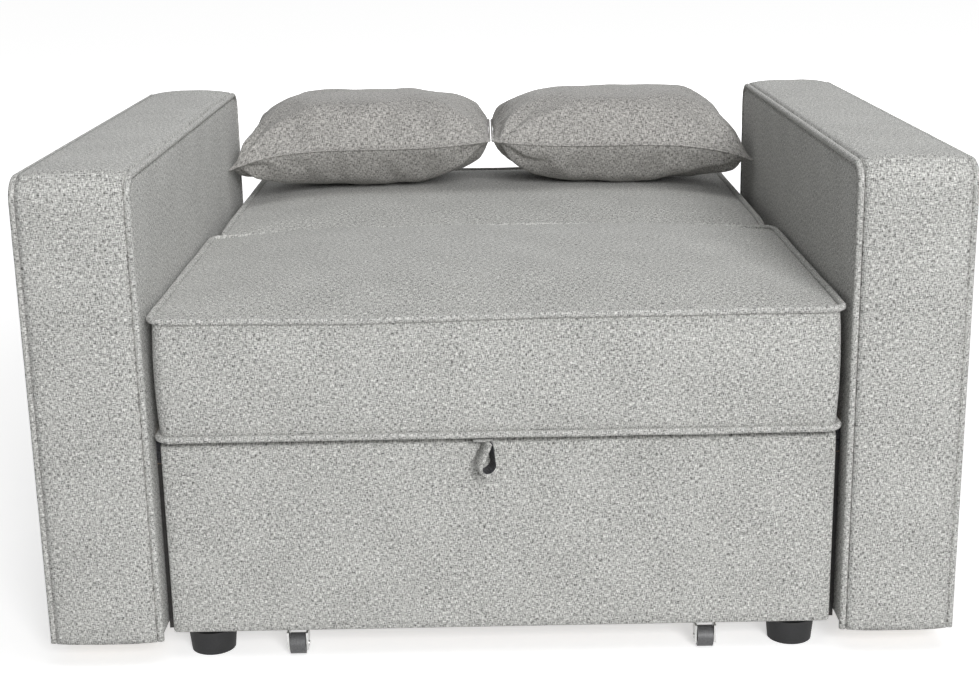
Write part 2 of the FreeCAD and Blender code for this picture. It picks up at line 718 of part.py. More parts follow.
cross = []
inside = "(%s - board - slack)" % RAIL_HALF
for k, start in enumerate((rail_start, from_front(DRAWER_END + " / 2"), from_front(DRAWER_END + " - board"))):
    cross.append(box("drawer_cross_%d" % k, ("-" + inside, start, "rail_bottom"),
                     ("2 * " + inside, "2 * board" if k == 0 else "board", "rail_height")))
node(group("drawer_cross_set", cross), "drawer_cross_rails")

# Casters under the front panel: a tapering fork with a small wheel, screwed under the front cross rail.
caster_middle = (from_front("caster_depth"), "caster_size / 2")
panel_rear = "panel_setback + panel_thickness"
fork_outline = [
    (from_front("(%s + 1)" % panel_rear), "rail_bottom - slack"),
    (from_front("(%s + caster_foot)" % panel_rear), "rail_bottom - slack"),
    (from_front("(%s + caster_foot)" % panel_rear), "rail_bottom - 3"),
    (from_front("(%s + 9)" % panel_rear), "rail_bottom - 3"),
    (from_front("(caster_depth + 8)"), "caster_size / 2 - 6"),
    (from_front("(caster_depth - 8)"), "caster_size / 2 - 6"),
    (from_front("(caster_depth - 10)"), "panel_bottom - 1.5"),
    (from_front("(%s + 1)" % panel_rear), "panel_bottom - 1.5"),
]
pins, screws = [], []
for side_name, side_sign in SIDES:
    name = side_name + "_caster"
    middle = "%d * (%s - caster_inset)" % (side_sign, INNER)
    body = doc.addObject("PartDesign::Body", name + "_body")
    cheek = sketch_on(body, "YZ_Plane", name + "_cheek")
    outline(cheek, fork_outline)
    pad(body, cheek, "caster_width", middle=True)
    slot = sketch_on(body, "YZ_Plane", name + "_slot")
    rectangle(slot, from_front("0"), "0", panel_rear + " + 2 * caster_foot", "rail_bottom - 3")
    pocket(body, slot, "caster_width - 5", middle=True)
    eye = sketch_on(body, "YZ_Plane", name + "_eye")
    circle(eye, caster_middle[0], caster_middle[1], "caster_pin + grip")
    pocket(body, eye, "caster_width + 4", middle=True)
    place(body, middle, "0", "0")
    screw_places = []
    for k, shift in enumerate((-7, 7)):
        screw_places.append(("%s + %d" % (middle, shift), from_front("(%s + 23)" % panel_rear)))
    holes = [bar("%s_screw_hole_%d" % (name, k), at + ("rail_bottom - 6",), "screw + 0.2", "8", "Z")
             for k, at in enumerate(screw_places)]
    node(cut(name + "_bored", body, holes), name + "_fork")
    for k, at in enumerate(screw_places):
        head = bar("%s_screw_head_%d" % (name, k), at + ("rail_bottom - 5",), "2 * screw", "2 - slack", "Z")
        shank = bar("%s_screw_shank_%d" % (name, k), at + ("rail_bottom - 4",), "screw", "4 - slack", "Z")
        screws.append(fused("%s_screw_%d" % (name, k), [head, shank]))
    pin_at = ("%s - caster_width / 2 - 1" % middle,) + caster_middle
    pins.append(bar(name + "_pin", pin_at, "caster_pin", "caster_width + 2"))
    wheel_at = ("%s - caster_width / 2 + 3.5" % middle,) + caster_middle
    wheel = bar(name + "_wheel_blank", wheel_at, "caster_size", "caster_width - 7")
    bore_at = ("%s - caster_width / 2" % middle,) + caster_middle
    bore = bar(name + "_wheel_bore", bore_at, "caster_pin + play", "caster_width")
    node(cut(name + "_wheel_whole", wheel, [bore]), name + "_wheel")
node(group("caster_pin_set", pins), "caster_axles")
node(group("caster_screw_set", screws), "caster_screws")

# Lifting platform: a tube frame on four links that lie folded between the drawer rails.
frame_near = from_front("platform_start")
tubes = []
for side_name, side_sign in SIDES:
    tubes.append(box(side_name + "_platform_tube",
                     (beside(side_sign, PLATFORM_HALF + " - tube", "tube"), frame_near, "platform_bottom"),
                     ("tube", PLATFORM_LENGTH, "tube")))
between = "(%s - tube)" % PLATFORM_HALF
for k, share in enumerate((0, 0.5, 1)):
    start = "%s + %g * (%s - tube)" % (frame_near, share, PLATFORM_LENGTH)
    tubes.append(box("platform_cross_%d" % k, ("-" + between, start, "platform_bottom"),
                     ("2 * " + between, "tube", "tube")))
LINK_SHARES = (0.09, 0.7)
link_middle = "(platform_bottom - link_rise / 2 - 5)"
rail_inside = RAIL_HALF + " - board"
links, link_pins = [], []
for side_name, side_sign in SIDES:
    for k, share in enumerate(LINK_SHARES):
        name = "%s_link_%d" % (side_name, k)
        start = "%s + %g * %s" % (frame_near, share, PLATFORM_LENGTH)
        lower_end = start + " + link_rise / 2"
        upper_end = start + " + link_length - link_rise / 2"
        blank = box(name + "_blank",
                    (beside(side_sign, rail_inside + " - plate - 1", "plate"), start,
                     link_middle + " - link_rise / 2"),
                    ("plate", "link_length", "link_rise"))
        tools = []
        for j, end in enumerate((lower_end, upper_end)):
            hole_at = (beside(side_sign, rail_inside + " - plate - 3", "plate + 4"), end, link_middle)
            tools.append(bar("%s_hole_%d" % (name, j), hole_at, "link_pin + play", "plate + 4"))
        links.append(cut(name, blank, tools))
        rail_pin = (beside(side_sign, rail_inside + " - plate - 3", "plate + 3 - slack"), lower_end, link_middle)
        link_pins.append(bar(name + "_rail_pin", rail_pin, "link_pin", "plate + 3 - slack"))
        bracket_low = "(%s - link_pin - 1)" % link_middle
        bracket_at = (beside(side_sign, PLATFORM_HALF + " - plate", "plate"), upper_end + " - 1.5 * link_pin",
                      bracket_low)
        bracket = box(name + "_bracket_blank", bracket_at,
                      ("plate", "3 * link_pin", "platform_bottom - %s" % bracket_low))
        hole_at = (beside(side_sign, PLATFORM_HALF + " - plate - 2", "2 * plate"), upper_end, link_middle)
        bracket_hole = bar(name + "_bracket_hole", hole_at, "link_pin + play", "2 * plate")
        tubes.append(cut(name + "_bracket", bracket, [bracket_hole]))
        pin_length = "%s - 1 - (%s - plate - 1)" % (rail_inside, PLATFORM_HALF)
        frame_pin = (beside(side_sign, PLATFORM_HALF + " - plate - 1", pin_length), upper_end, link_middle)
        link_pins.append(bar(name + "_frame_pin", frame_pin, "link_pin", pin_length))
node(group("platform_tube_set", tubes), "platform_frame")
node(group("lift_link_set", links), "lift_links")
node(group("lift_pin_set", link_pins), "lift_pins")

SLAT_COUNT = 8
slats = []
for k in range(SLAT_COUNT):
    start = "%s + 2 + %d * (%s - 4 - slat_width) / %d" % (frame_near, k, PLATFORM_LENGTH, SLAT_COUNT - 1)
    slats.append(box("platform_slat_%d" % k,
                     ("-(%s - slat_inset)" % MATTRESS_HALF, start, "platform_bottom + tube + slack"),
                     ("2 * (%s - slat_inset)" % MATTRESS_HALF, "slat_width", "slat_rise")))
node(group("platform_slat_set", slats), "platform_slats")

mattress_near = frame_near + " - mattress_lip"
mattress_far = "%s + %s + mattress_lip" % (frame_near, PLATFORM_LENGTH)
mattress = cushion("mattress_form", value(MATTRESS_HALF), value(mattress_near), value(mattress_far),
                   value("platform_bottom + tube + slat_rise + 2 * slack"), value("mattress_top"),
                   value("mattress_crown"), value("mattress_corner"))
node(mattress, "pull_out_mattress")

# Pull strap: a loop of folded fabric below the seam, with a tail that lies on the front panel.
STRAP_TURN = 32


def drop_wire(radius, rise, drop):
    """Teardrop in the X-Z plane: pointed at the top, round at the bottom."""
    centre = -drop + radius
    lean = math.asin(radius / (rise - centre))
    right = FreeCAD.Vector(radius * math.cos(lean), 0, centre + radius * math.sin(lean))
    left = FreeCAD.Vector(-right.x, 0, right.z)
    tip = FreeCAD.Vector(0, 0, rise)
    low = FreeCAD.Vector(0, 0, centre - radius)
    edges = [
        Part.LineSegment(tip, right).toShape(),
        Part.Arc(right, low, left).toShape(),
        Part.LineSegment(left, tip).toShape(),
    ]
    return Part.Wire(edges)


def strap_form():
    width, drop, cloth, tail_length = (value("strap_" + word) for word in ("width", "drop", "cloth", "tail"))
    radius = 0.27 * drop
    outside = Part.Face(drop_wire(radius, 0, drop)).extrude(FreeCAD.Vector(0, width, 0))
    inside = Part.Face(drop_wire(radius - cloth, -radius, drop - cloth)).extrude(FreeCAD.Vector(0, width, 0))
    ring = outside.cut(inside)
    ring.translate(FreeCAD.Vector(0, -width / 2, 0))
    ring.rotate(FreeCAD.Vector(0, 0, 0), FreeCAD.Vector(0, 0, 1), STRAP_TURN)
    top = value("panel_top + 2.8")
    setback = value("panel_setback")
    ring.translate(FreeCAD.Vector(0, setback - 17, top))
    tail = Part.makeBox(width, tail_length, cloth, FreeCAD.Vector(-width / 2, setback - 14, top - cloth))
    return ring.fuse(tail).removeSplitter()


strap = doc.addObject("Part::Feature", "strap_form")
strap.Shape = strap_form()
place(strap, "-strap_place", FRONT, "0")
node(strap, "pull_strap")

# Backrest: timber frame, webbing, rear panel, band round the frame and a cushion, all laid flat.
back_low, back_rise = "back_frame_bottom", "back_frame_rise"
back_near = from_front(PIVOT_DEPTH + " - back_frame_lead")
back_half = FRAME_HALF
pivot = (from_front(PIVOT_DEPTH), "pivot_height")
BOLT_SHIFTS = ("hinge_reach / 4", "3 * hinge_reach / 4")
arm_bolt_places = [("%s + %s" % (pivot[0], shift), "back_frame_bottom + back_frame_rise / 2") for shift in BOLT_SHIFTS]
back_rails, hinge_pins, arm_bolts, plate_bolts = [], [], [], []
for side_name, side_sign in SIDES:
    blank = box(side_name + "_back_blank",
                (beside(side_sign, back_half + " - rail", "rail"), back_near, back_low),
                ("rail", "back_frame_depth", back_rise))
    tools = []
    for k, at in enumerate(arm_bolt_places):
        start = (beside(side_sign, back_half + " - rail - 1", "rail + 2"),) + at
        tools.append(bar("%s_back_bolt_hole_%d" % (side_name, k), start, "small_bolt + 0.2", "rail + 2"))
    back_rails.append(cut(side_name + "_back_rail", blank, tools))
back_inside = "(%s - rail)" % back_half
for k, start in enumerate(("0", "(back_frame_depth - rail) / 2", "back_frame_depth - rail")):
    back_rails.append(box("back_cross_rail_%d" % k, ("-" + back_inside, "%s + %s" % (back_near, start), back_low),
                          ("2 * " + back_inside, "rail", back_rise)))
node(group("back_frame_set", back_rails), "back_frame")

webbing("back_webbing", 5, back_near + " + web_width / 2", "(back_frame_depth - 2 * web_width) / 4",
        back_half + " - 4",
        "back_frame_bottom + back_frame_rise + slack", "1.8")
rear_panel = box("back_rear_sheet", ("-" + back_half, back_near, "back_frame_bottom - slack - sheet"),
                 ("2 * " + back_half, "back_frame_depth", "sheet"))
node(rear_panel, "back_rear_panel")

band = doc.addObject("PartDesign::Body", "back_band_body")
ring = sketch_on(band, "XY_Plane", "back_band_ring")
band_near = "%s + hinge_reach + 5" % pivot[0]
band_far = "%s + back_frame_depth + slack" % back_near
outline(ring, [
    ("-%s - slack - sheet" % back_half, band_near),
    ("-%s - slack" % back_half, band_near),
    ("-%s - slack" % back_half, band_far),
    ("%s + slack" % back_half, band_far),
    ("%s + slack" % back_half, band_near),
    ("%s + slack + sheet" % back_half, band_near),
    ("%s + slack + sheet" % back_half, band_far + " + sheet"),
    ("-%s - slack - sheet" % back_half, band_far + " + sheet"),
])
pad(band, ring, "back_frame_rise + sheet")
place(band, "0", "0", "back_frame_bottom - sheet")
node(band, "back_frame_band")


def back_cushion():
    """Back cushion: like the seat cushion, but rolled down further at its lower end by the seat."""
    half, corner = value(BACK_HALF), value("cushion_corner")
    near, far = value(from_front(BACK_START)), value(from_front(BACK_END))
    bottom, top, crown = value("back_frame_bottom + back_frame_rise + 2.7"), value("back_top"), value("back_crown")
    levels = [
        (10, 10, bottom),
        (4, 3, bottom + 10),
        (-1, 0, (bottom + top) / 2),
        (4, 6, top - 8),
        (11, 14, top),
        (44, 58, top + 0.45 * crown),
        (90, 110, top + 0.8 * crown),
        (145, 165, top + crown),
    ]
    wires = []
    for inset, roll, height in levels:
        wires.append(rounded_wire(half - inset, near + roll, far - inset, corner, height))
    return soft("back_cushion_form", wires)


node(back_cushion(), "back_cushion")
node(cushion_cord("back_piping_cord", BACK_HALF, from_front(BACK_START + " + 2.4"), from_front(BACK_END),
                  4.3, "back_top - 1.2"), "back_piping")

# Hinges: a plate on each chair arm, a bent arm on each side of the back frame and a pin through both.
ROUNDING = [(math.cos(math.radians(a)), math.sin(math.radians(a))) for a in (0, 45, 90, 135, 180)]
round_part = [("%.4f * plate_round" % y, "%.4f * plate_round" % z) for y, z in ROUNDING]
plate_outline = [
    ("-1.5 * plate_round", "-plate_drop"),
    ("1.5 * plate_round", "-plate_drop"),
    ("1.5 * plate_round", "-plate_drop / 2"),
    *round_part,
    ("-1.5 * plate_round", "-plate_drop / 2"),
]
foot_low = "(back_frame_bottom + 3 - pivot_height)"
foot_high = "(back_frame_bottom + back_frame_rise - 3 - pivot_height)"
arm_outline = [
    ("-plate_round", foot_low),
    ("hinge_reach", foot_low),
    ("hinge_reach", foot_high),
    ("1.5 * plate_round", foot_high),
    *round_part,
]


def steel(label, x, corners, thickness, eye=None):
    """Flat steel piece in the Y-Z plane, given as offsets from the pivot, with its bore at the pivot."""
    body = doc.addObject("PartDesign::Body", label + "_body")
    face = sketch_on(body, "YZ_Plane", label + "_face")
    outline(face, [("%s + %s" % (pivot[0], y), "%s + %s" % (pivot[1], z)) for y, z in corners])
    pad(body, face, thickness)
    if eye:
        bore = sketch_on(body, "YZ_Plane", label + "_eye")
        circle(bore, pivot[0], pivot[1], eye)
        pocket(body, bore, "3 * (%s)" % thickness, middle=True)
    place(body, x, "0", "0")
    return body


def bored(label, blank, side, near, length, places):
    """Piece with bolt holes across it at the given places."""
    start = beside(side, near, length)
    tools = [bar("%s_hole_%d" % (label, k), (start,) + at, "small_bolt + 0.2", length) for k, at in enumerate(places)]
    return cut(label, blank, tools)


def bolt(label, side, places, head_near, shank_near, shank_length):
    """Small bolts with a round head on the side of the middle plane or of the chair arm."""
    bolts = []
    for k, at in enumerate(places):
        head = bar("%s_head_%d" % (label, k), (beside(side, head_near, "3"),) + at, "small_head", "3")
        shank = bar("%s_shank_%d" % (label, k), (beside(side, shank_near, shank_length),) + at, "small_bolt",
                    shank_length)
        bolts.append(fused("%s_%d" % (label, k), [head, shank]))
    return bolts


for side_name, side_sign in SIDES:
    name = side_name + "_hinge_plate"
    plate_near = "(%s - slack - plate)" % INNER
    blank = steel(name + "_blank", beside(side_sign, plate_near, "plate"), plate_outline, "plate", "pivot_pin + play")
    node(bored(name, blank, side_sign, plate_near + " - 1", "plate + 2", hinge_bolt_places()), name)
    plate_bolts += bolt(side_name + "_plate_bolt", side_sign, hinge_bolt_places(), plate_near + " - 3.1",
                        plate_near + " - 1.1", "side_padding + ply + plate")

    name = side_name + "_hinge_arm"
    arm_near = "(%s - hinge_gap)" % INNER
    flat = steel(name + "_flat", beside(side_sign, arm_near, "plate"), arm_outline, "plate", "pivot_pin + grip")
    spacer_near = "(%s + slack)" % back_half
    spacer_width = "%s - %s" % (arm_near, spacer_near)
    spacer = box(name + "_spacer",
                 (beside(side_sign, spacer_near, spacer_width), pivot[0] + " + 3", "pivot_height + " + foot_low),
                 (spacer_width, "hinge_reach - 3", "back_frame_rise - 6"))
    blank = fused(name + "_blank", [flat, spacer])
    node(bored(name, blank, side_sign, spacer_near + " - 1", spacer_width + " + plate + 2", arm_bolt_places), name)
    head_near = arm_near + " + plate + 0.1"
    arm_bolts += bolt(side_name + "_arm_bolt", side_sign, arm_bolt_places, head_near,
                      back_half + " - rail + 2", "%s + 1 - (%s - rail + 2)" % (head_near, back_half))

    pin_near = arm_near + " - 0.8"
    pin_length = "%s - slack - 0.1 - (%s)" % (INNER, pin_near)
    pin = bar(side_name + "_pin_shank", (beside(side_sign, pin_near, pin_length),) + pivot, "pivot_pin", pin_length)
    collar_near = "(%s + plate + 0.1)" % arm_near
    collar_length = "%s - 0.1 - %s" % (plate_near, collar_near)
    collar = bar(side_name + "_pin_collar", (beside(side_sign, collar_near, collar_length),) + pivot, "pivot_pin + 6",
                 collar_length)
    hinge_pins.append(fused(side_name + "_hinge_pin", [pin, collar]))
node(group("hinge_pin_set", hinge_pins), "hinge_pins")
node(group("hinge_arm_bolt_set", arm_bolts), "hinge_arm_bolts")
node(group("hinge_plate_bolt_set", plate_bolts), "hinge_plate_bolts")

# Pillows: two soft pillows with a knife edge and drawn-out corners, lying on the back.
PILLOW_LEVELS = ((0.0, 0.06), (0.03, 0.3), (0.09, 0.53), (0.2, 0.76), (0.36, 0.92), (0.55, 1.0))


def pillow_wire(half_width, half_depth, inset, height):
    """Outline of a pillow: its sides bow in at the seam and out nearer to the middle."""
    bow = half_depth * (0.9 * inset - 0.06)
    x = half_width * (1 - inset)
    y = half_depth * (1 - inset) - max(0.0, bow) * 0.5
    x -= max(0.0, bow) * 0.5
    corners = [(x, -y), (x, y), (-x, y), (-x, -y)]
    middles = [(x + bow * 0.5, 0), (0, y + bow * 0.5), (-x - bow * 0.5, 0), (0, -y - bow * 0.5)]
    edges = []
    for k in range(4):
        points = [corners[k], middles[k], corners[(k + 1) % 4]]
        edges.append(Part.Arc(*[FreeCAD.Vector(px, py, height) for px, py in points]).toShape())
    return Part.Wire(edges)


for side_name, side_sign in SIDES:
    half_width, half_depth = value(PILLOW_HALF), value("pillow_depth / 2")
    half_height = value("pillow_height / 2")
    wires = []
    for inset, rise in reversed(PILLOW_LEVELS):
        wires.append(pillow_wire(half_width, half_depth, inset, -rise * half_height))
    for inset, rise in PILLOW_LEVELS:
        wires.append(pillow_wire(half_width, half_depth, inset, rise * half_height))
    pillow = soft(side_name + "_pillow_form", wires)
    place(pillow, "%d * (%s + pillow_split)" % (side_sign, PILLOW_HALF),
          from_front(PIVOT_DEPTH + " + pillow_shift + pillow_depth / 2"),
          "back_top + back_crown + slack + pillow_height / 2")
    node(pillow, side_name + "_pillow")

doc.recompute()
os.makedirs("parts", exist_ok=True)
for thing in doc.Objects:
    if "Invalid" in thing.State or "Error" in thing.State:
        raise RuntimeError("%s did not build: %s" % (thing.Label, thing.State))
for thing in nodes:
    shape = thing.Shape
    if shape.isNull() or not shape.isValid() or not shape.Solids:
        raise RuntimeError("%s has no valid solid" % thing.Label)
    shape.exportStep("parts/%s.step" % thing.Label)
print("%d pieces written" % len(nodes))
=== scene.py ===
"""Looks of the convertible chair bed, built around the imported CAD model. Lengths in metres."""

import json
import math

import bmesh
import bpy
from mathutils import Matrix, Vector, noise

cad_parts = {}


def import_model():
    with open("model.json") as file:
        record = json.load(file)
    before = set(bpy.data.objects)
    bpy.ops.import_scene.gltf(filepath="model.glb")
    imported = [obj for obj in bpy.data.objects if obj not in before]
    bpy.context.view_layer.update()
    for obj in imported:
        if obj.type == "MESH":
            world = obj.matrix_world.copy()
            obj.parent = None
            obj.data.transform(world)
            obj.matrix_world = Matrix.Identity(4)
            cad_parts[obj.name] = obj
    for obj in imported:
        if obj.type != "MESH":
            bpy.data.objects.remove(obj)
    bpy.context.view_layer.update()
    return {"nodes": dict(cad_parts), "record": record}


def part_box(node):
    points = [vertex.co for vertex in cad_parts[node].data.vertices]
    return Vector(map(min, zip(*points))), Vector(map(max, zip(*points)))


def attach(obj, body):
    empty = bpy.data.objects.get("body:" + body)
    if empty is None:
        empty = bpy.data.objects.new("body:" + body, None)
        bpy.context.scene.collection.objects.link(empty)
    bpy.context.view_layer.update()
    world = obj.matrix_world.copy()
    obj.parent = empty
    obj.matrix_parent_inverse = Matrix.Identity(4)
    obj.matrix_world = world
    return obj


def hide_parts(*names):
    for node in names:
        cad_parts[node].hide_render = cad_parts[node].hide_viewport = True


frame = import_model()
NODES = frame["nodes"]
SIDES = (("left", -1), ("right", 1))
X_AXIS, Y_AXIS, Z_AXIS = Vector((1, 0, 0)), Vector((0, 1, 0)), Vector((0, 0, 1))
QUARTER = math.pi / 2

CORD_RADIUS = 0.0042  # piping of arms, cushions and mattress
SEAT_TOP, MATTRESS_TOP = 0.4365, 0.2155  # upper seams of the cushions and of the mattress
PHOTO_WIDTH, FOCAL_PIXELS, SENSOR_WIDTH = 979, 1625.6, 36.0


# Materials

def new_material(name):
    """Material with a Principled shader alone: the material, its node tree and the shader."""
    mat = bpy.data.materials.new(name)
    mat.use_nodes = True
    tree = mat.node_tree
    tree.nodes.clear()
    out = tree.nodes.new("ShaderNodeOutputMaterial")
    shader = tree.nodes.new("ShaderNodeBsdfPrincipled")
    tree.links.new(shader.outputs[0], out.inputs[0])
    return mat, tree, shader


def math_node(tree, operation, a, b=0.0, clamp=False):
    """Math node. Each operand is a number or a socket."""
    node = tree.nodes.new("ShaderNodeMath")
    node.operation = operation
    node.use_clamp = clamp
    for k, operand in enumerate((a, b)):
        if isinstance(operand, (int, float)):
            node.inputs[k].default_value = operand
        else:
            tree.links.new(operand, node.inputs[k])
    return node.outputs[0]


def scaled(tree, value, factor, offset):
    """value * factor + offset"""
    return math_node(tree, "ADD", math_node(tree, "MULTIPLY", value, factor), offset)


def mixed_nodes(tree, a, share_a, b, share_b):
    """a * share_a + b * share_b"""
    parts = [math_node(tree, "MULTIPLY", value, share) for value, share in ((a, share_a), (b, share_b))]
    return math_node(tree, "ADD", *parts)


def noise_node(tree, vector, scale, detail=2.0, rough=0.5, stretch=(1, 1, 1)):
    """Noise over a vector that is stretched first."""
    mapping = tree.nodes.new("ShaderNodeMapping")
    mapping.inputs["Scale"].default_value = [scale * s for s in stretch]
    tree.links.new(vector, mapping.inputs["Vector"])
    tex = tree.nodes.new("ShaderNodeTexNoise")
    tex.inputs["Scale"].default_value = 1.0
    tex.inputs["Detail"].default_value = detail
    tex.inputs["Roughness"].default_value = rough
    tree.links.new(mapping.outputs[0], tex.inputs["Vector"])
    return tex.outputs[0]


def ramp_node(tree, factor, stops):
    """Colour ramp with (place, colour) stops."""
    ramp = tree.nodes.new("ShaderNodeValToRGB")
    tree.links.new(factor, ramp.inputs[0])
    cr = ramp.color_ramp
    while len(cr.elements) < len(stops):
        cr.elements.new(0.5)
    for element, (place, colour) in zip(cr.elements, stops):
        element.position = place
        element.color = tuple(colour) + (1.0,)
    return ramp.outputs[0]


def bump_node(tree, height, strength, distance):
    """Normal of a surface with that relief."""
    bump = tree.nodes.new("ShaderNodeBump")
    bump.inputs["Strength"].default_value = strength
    bump.inputs["Distance"].default_value = distance
    tree.links.new(height, bump.inputs["Height"])
    return bump.outputs[0]


def object_coordinates(tree):
    return tree.nodes.new("ShaderNodeTexCoord").outputs["Object"]


def linen(name, dark, light, pitch=0.00088, relief=0.2, spread=0.138):
    """Heathered linen: plain weave of uneven threads, each with its own runs of light and dark.

    pitch is the distance between threads, and spread the part of the noise that goes from dark to light.
    """
    run, depth = 0.17, 0.0006
    mat, tree, shader = new_material(name)
    uv = tree.nodes.new("ShaderNodeUVMap")
    uv.uv_map = "weave"
    place = uv.outputs[0]
    split = tree.nodes.new("ShaderNodeSeparateXYZ")
    tree.links.new(place, split.inputs[0])
    threads = []
    for axis in (0, 1):
        phase = math_node(tree, "MULTIPLY", split.outputs[axis], math.pi / pitch)
        threads.append(math_node(tree, "ABSOLUTE", math_node(tree, "SINE", phase)))
    warp = noise_node(tree, place, 1.0 / pitch, 1.5, 0.6, (1, run, 1))
    weft = noise_node(tree, place, 1.0 / pitch, 1.5, 0.6, (run, 1, 1))
    speck = noise_node(tree, place, 1.15 / pitch, 1.0, 0.5)
    clump = noise_node(tree, place, 0.27 / pitch, 2.5, 0.7)
    cloud = noise_node(tree, place, 14.0, 3.0, 0.5)
    shade = 0.5
    for source, share in ((warp, 0.50), (weft, 0.50), (speck, 0.12), (clump, 0.24), (cloud, 0.05)):
        part = math_node(tree, "MULTIPLY", math_node(tree, "SUBTRACT", source, 0.5), share)
        shade = math_node(tree, "ADD", part, shade)
    middle = [0.5 * (a + b) for a, b in zip(dark, light)]
    colour = ramp_node(tree, shade, [(0.5 - spread, dark), (0.5, middle), (0.5 + spread, light)])
    tree.links.new(colour, shader.inputs["Base Color"])
    height = mixed_nodes(tree, math_node(tree, "ADD", *threads), 0.4, shade, 0.8)
    tree.links.new(bump_node(tree, height, relief, depth), shader.inputs["Normal"])
    tree.links.new(scaled(tree, shade, 0.12, 0.84), shader.inputs["Roughness"])
    shader.inputs["Specular IOR Level"].default_value = 0.25
    shader.inputs["Sheen Weight"].default_value = 0.12
    shader.inputs["Sheen Roughness"].default_value = 0.5
    return mat


def wood(name, dark, light, ring=38.0, plies=0.0):
    """Planed timber with its grain along x, or plywood whose edges show plies of the given thickness."""
    mat, tree, shader = new_material(name)
    place = object_coordinates(tree)
    grain = noise_node(tree, place, ring, 4.0, 0.6, (0.35, 0.9, 6.0))
    fibre = noise_node(tree, place, 420.0, 2.0, 0.5, (0.1, 0.16, 1.0))
    both = mixed_nodes(tree, grain, 0.75, fibre, 0.25)
    if plies:
        split = tree.nodes.new("ShaderNodeSeparateXYZ")
        tree.links.new(place, split.inputs[0])
        layer = math_node(tree, "SINE", math_node(tree, "MULTIPLY", split.outputs[0], 2 * math.pi / plies))
        both = math_node(tree, "ADD", both, math_node(tree, "MULTIPLY", layer, 0.05))
    middle = [0.55 * a + 0.45 * b for a, b in zip(dark, light)]
    colour = ramp_node(tree, both, [(0.3, dark), (0.5, middle), (0.7, light)])
    tree.links.new(colour, shader.inputs["Base Color"])
    tree.links.new(bump_node(tree, both, 0.25, 0.0005), shader.inputs["Normal"])
    tree.links.new(scaled(tree, both, 0.2, 0.5), shader.inputs["Roughness"])
    return mat


def speckled(name, dark, light, scale, roughness, metallic=0.0, relief=0.15, stretch=(1, 1, 1)):
    """Coated, plated or moulded surface: fine grain in colour, gloss and relief."""
    mat, tree, shader = new_material(name)
    place = object_coordinates(tree)
    fine = noise_node(tree, place, scale, 3.0, 0.55, stretch)
    wide = noise_node(tree, place, scale * 0.04, 2.0, 0.5)
    both = mixed_nodes(tree, fine, 0.6, wide, 0.4)
    tree.links.new(ramp_node(tree, both, [(0.35, dark), (0.65, light)]), shader.inputs["Base Color"])
    tree.links.new(bump_node(tree, fine, relief, 0.0003), shader.inputs["Normal"])
    low, high = roughness
    tree.links.new(scaled(tree, both, high - low, low), shader.inputs["Roughness"])
    shader.inputs["Metallic"].default_value = metallic
    return mat


FINISHES = {
    "upholstery": linen("heathered_linen", (0.08, 0.08, 0.075), (0.86, 0.86, 0.83)),
    "pillow_fabric": linen("pillow_linen", (0.09, 0.087, 0.082), (0.68, 0.663, 0.635), 0.00115, 0.25, 0.14),
    "mattress_fabric": linen("mattress_linen", (0.24, 0.24, 0.235), (0.62, 0.62, 0.61)),
    "webbing": linen("elastic_webbing", (0.02, 0.02, 0.023), (0.10, 0.10, 0.11), 0.0022, 0.6),
    # Near-black plywood for the base boards: its black is painted shade for the gaps beside the front panel,
    # where the boards show.
    "dark_board": wood("black_plywood_gap_shade", (0.02, 0.019, 0.018), (0.055, 0.052, 0.05), 26.0, 0.0032),
    "timber": wood("planed_pine", (0.36, 0.22, 0.10), (0.72, 0.56, 0.35)),
    "plywood": wood("birch_plywood", (0.36, 0.24, 0.12), (0.66, 0.52, 0.34), 26.0, 0.0032),
    "black_steel": speckled("black_powder_coat", (0.018, 0.018, 0.02), (0.05, 0.05, 0.053), 1600,
                            (0.38, 0.6), 0.3, 0.3),
    "zinc_steel": speckled("bright_zinc", (0.52, 0.52, 0.51), (0.74, 0.74, 0.73), 700,
                           (0.22, 0.42), 1.0, 0.1, (1, 1, 0.2)),
    "black_plastic": speckled("black_plastic", (0.008, 0.008, 0.009), (0.022, 0.022, 0.023), 900,
                              (0.55, 0.75)),
    "nylon": speckled("nylon", (0.07, 0.07, 0.072), (0.15, 0.15, 0.153), 600, (0.35, 0.55)),
}
for part in frame["record"]["subparts"]:
    thing = NODES[part["node"]]
    thing.data.materials.clear()
    thing.data.materials.append(FINISHES[part["material_slot"]])


# Meshes

class Surface:
    """Points, faces and UVs of a mesh that is put together from grids."""

    def __init__(self):
        self.points, self.faces, self.uvs = [], [], []

    def add(self, rows, uv_rows, closed=False, flip=False):
        """Grid of points. With closed, the last column joins the first. Returns the index rows."""
        index = []
        for row in rows:
            index.append(list(range(len(self.points), len(self.points) + len(row))))
            self.points += row
        self.join(index, uv_rows, closed, flip)
        return index

    def join(self, index, uv_rows, closed=False, flip=False):
        """Faces between rows of point indices."""
        for r in range(len(index) - 1):
            lower, upper = index[r], index[r + 1]
            count = len(lower)
            for c in range(count if closed else count - 1):
                d = (c + 1) % count
                corners = [lower[c], lower[d], upper[d], upper[c]]
                e = c + 1
                pairs = [uv_rows[r][c], uv_rows[r][e], uv_rows[r + 1][e], uv_rows[r + 1][c]]
                if flip:
                    corners.reverse()
                    pairs.reverse()
                self.faces.append(tuple(corners))
                self.uvs.append(pairs)

    def cap(self, loop, flip=False):
        """One face over a loop of point indices. The small slant keeps its UV corners apart."""
        corners = list(loop)
        if flip:
            corners.reverse()
        self.faces.append(tuple(corners))
        first = Vector(self.points[corners[0]])
        away = [Vector(self.points[i]) - first for i in corners]
        self.uvs.append([(a.x, a.z + i * 1e-6) for i, a in zip(corners, away)])


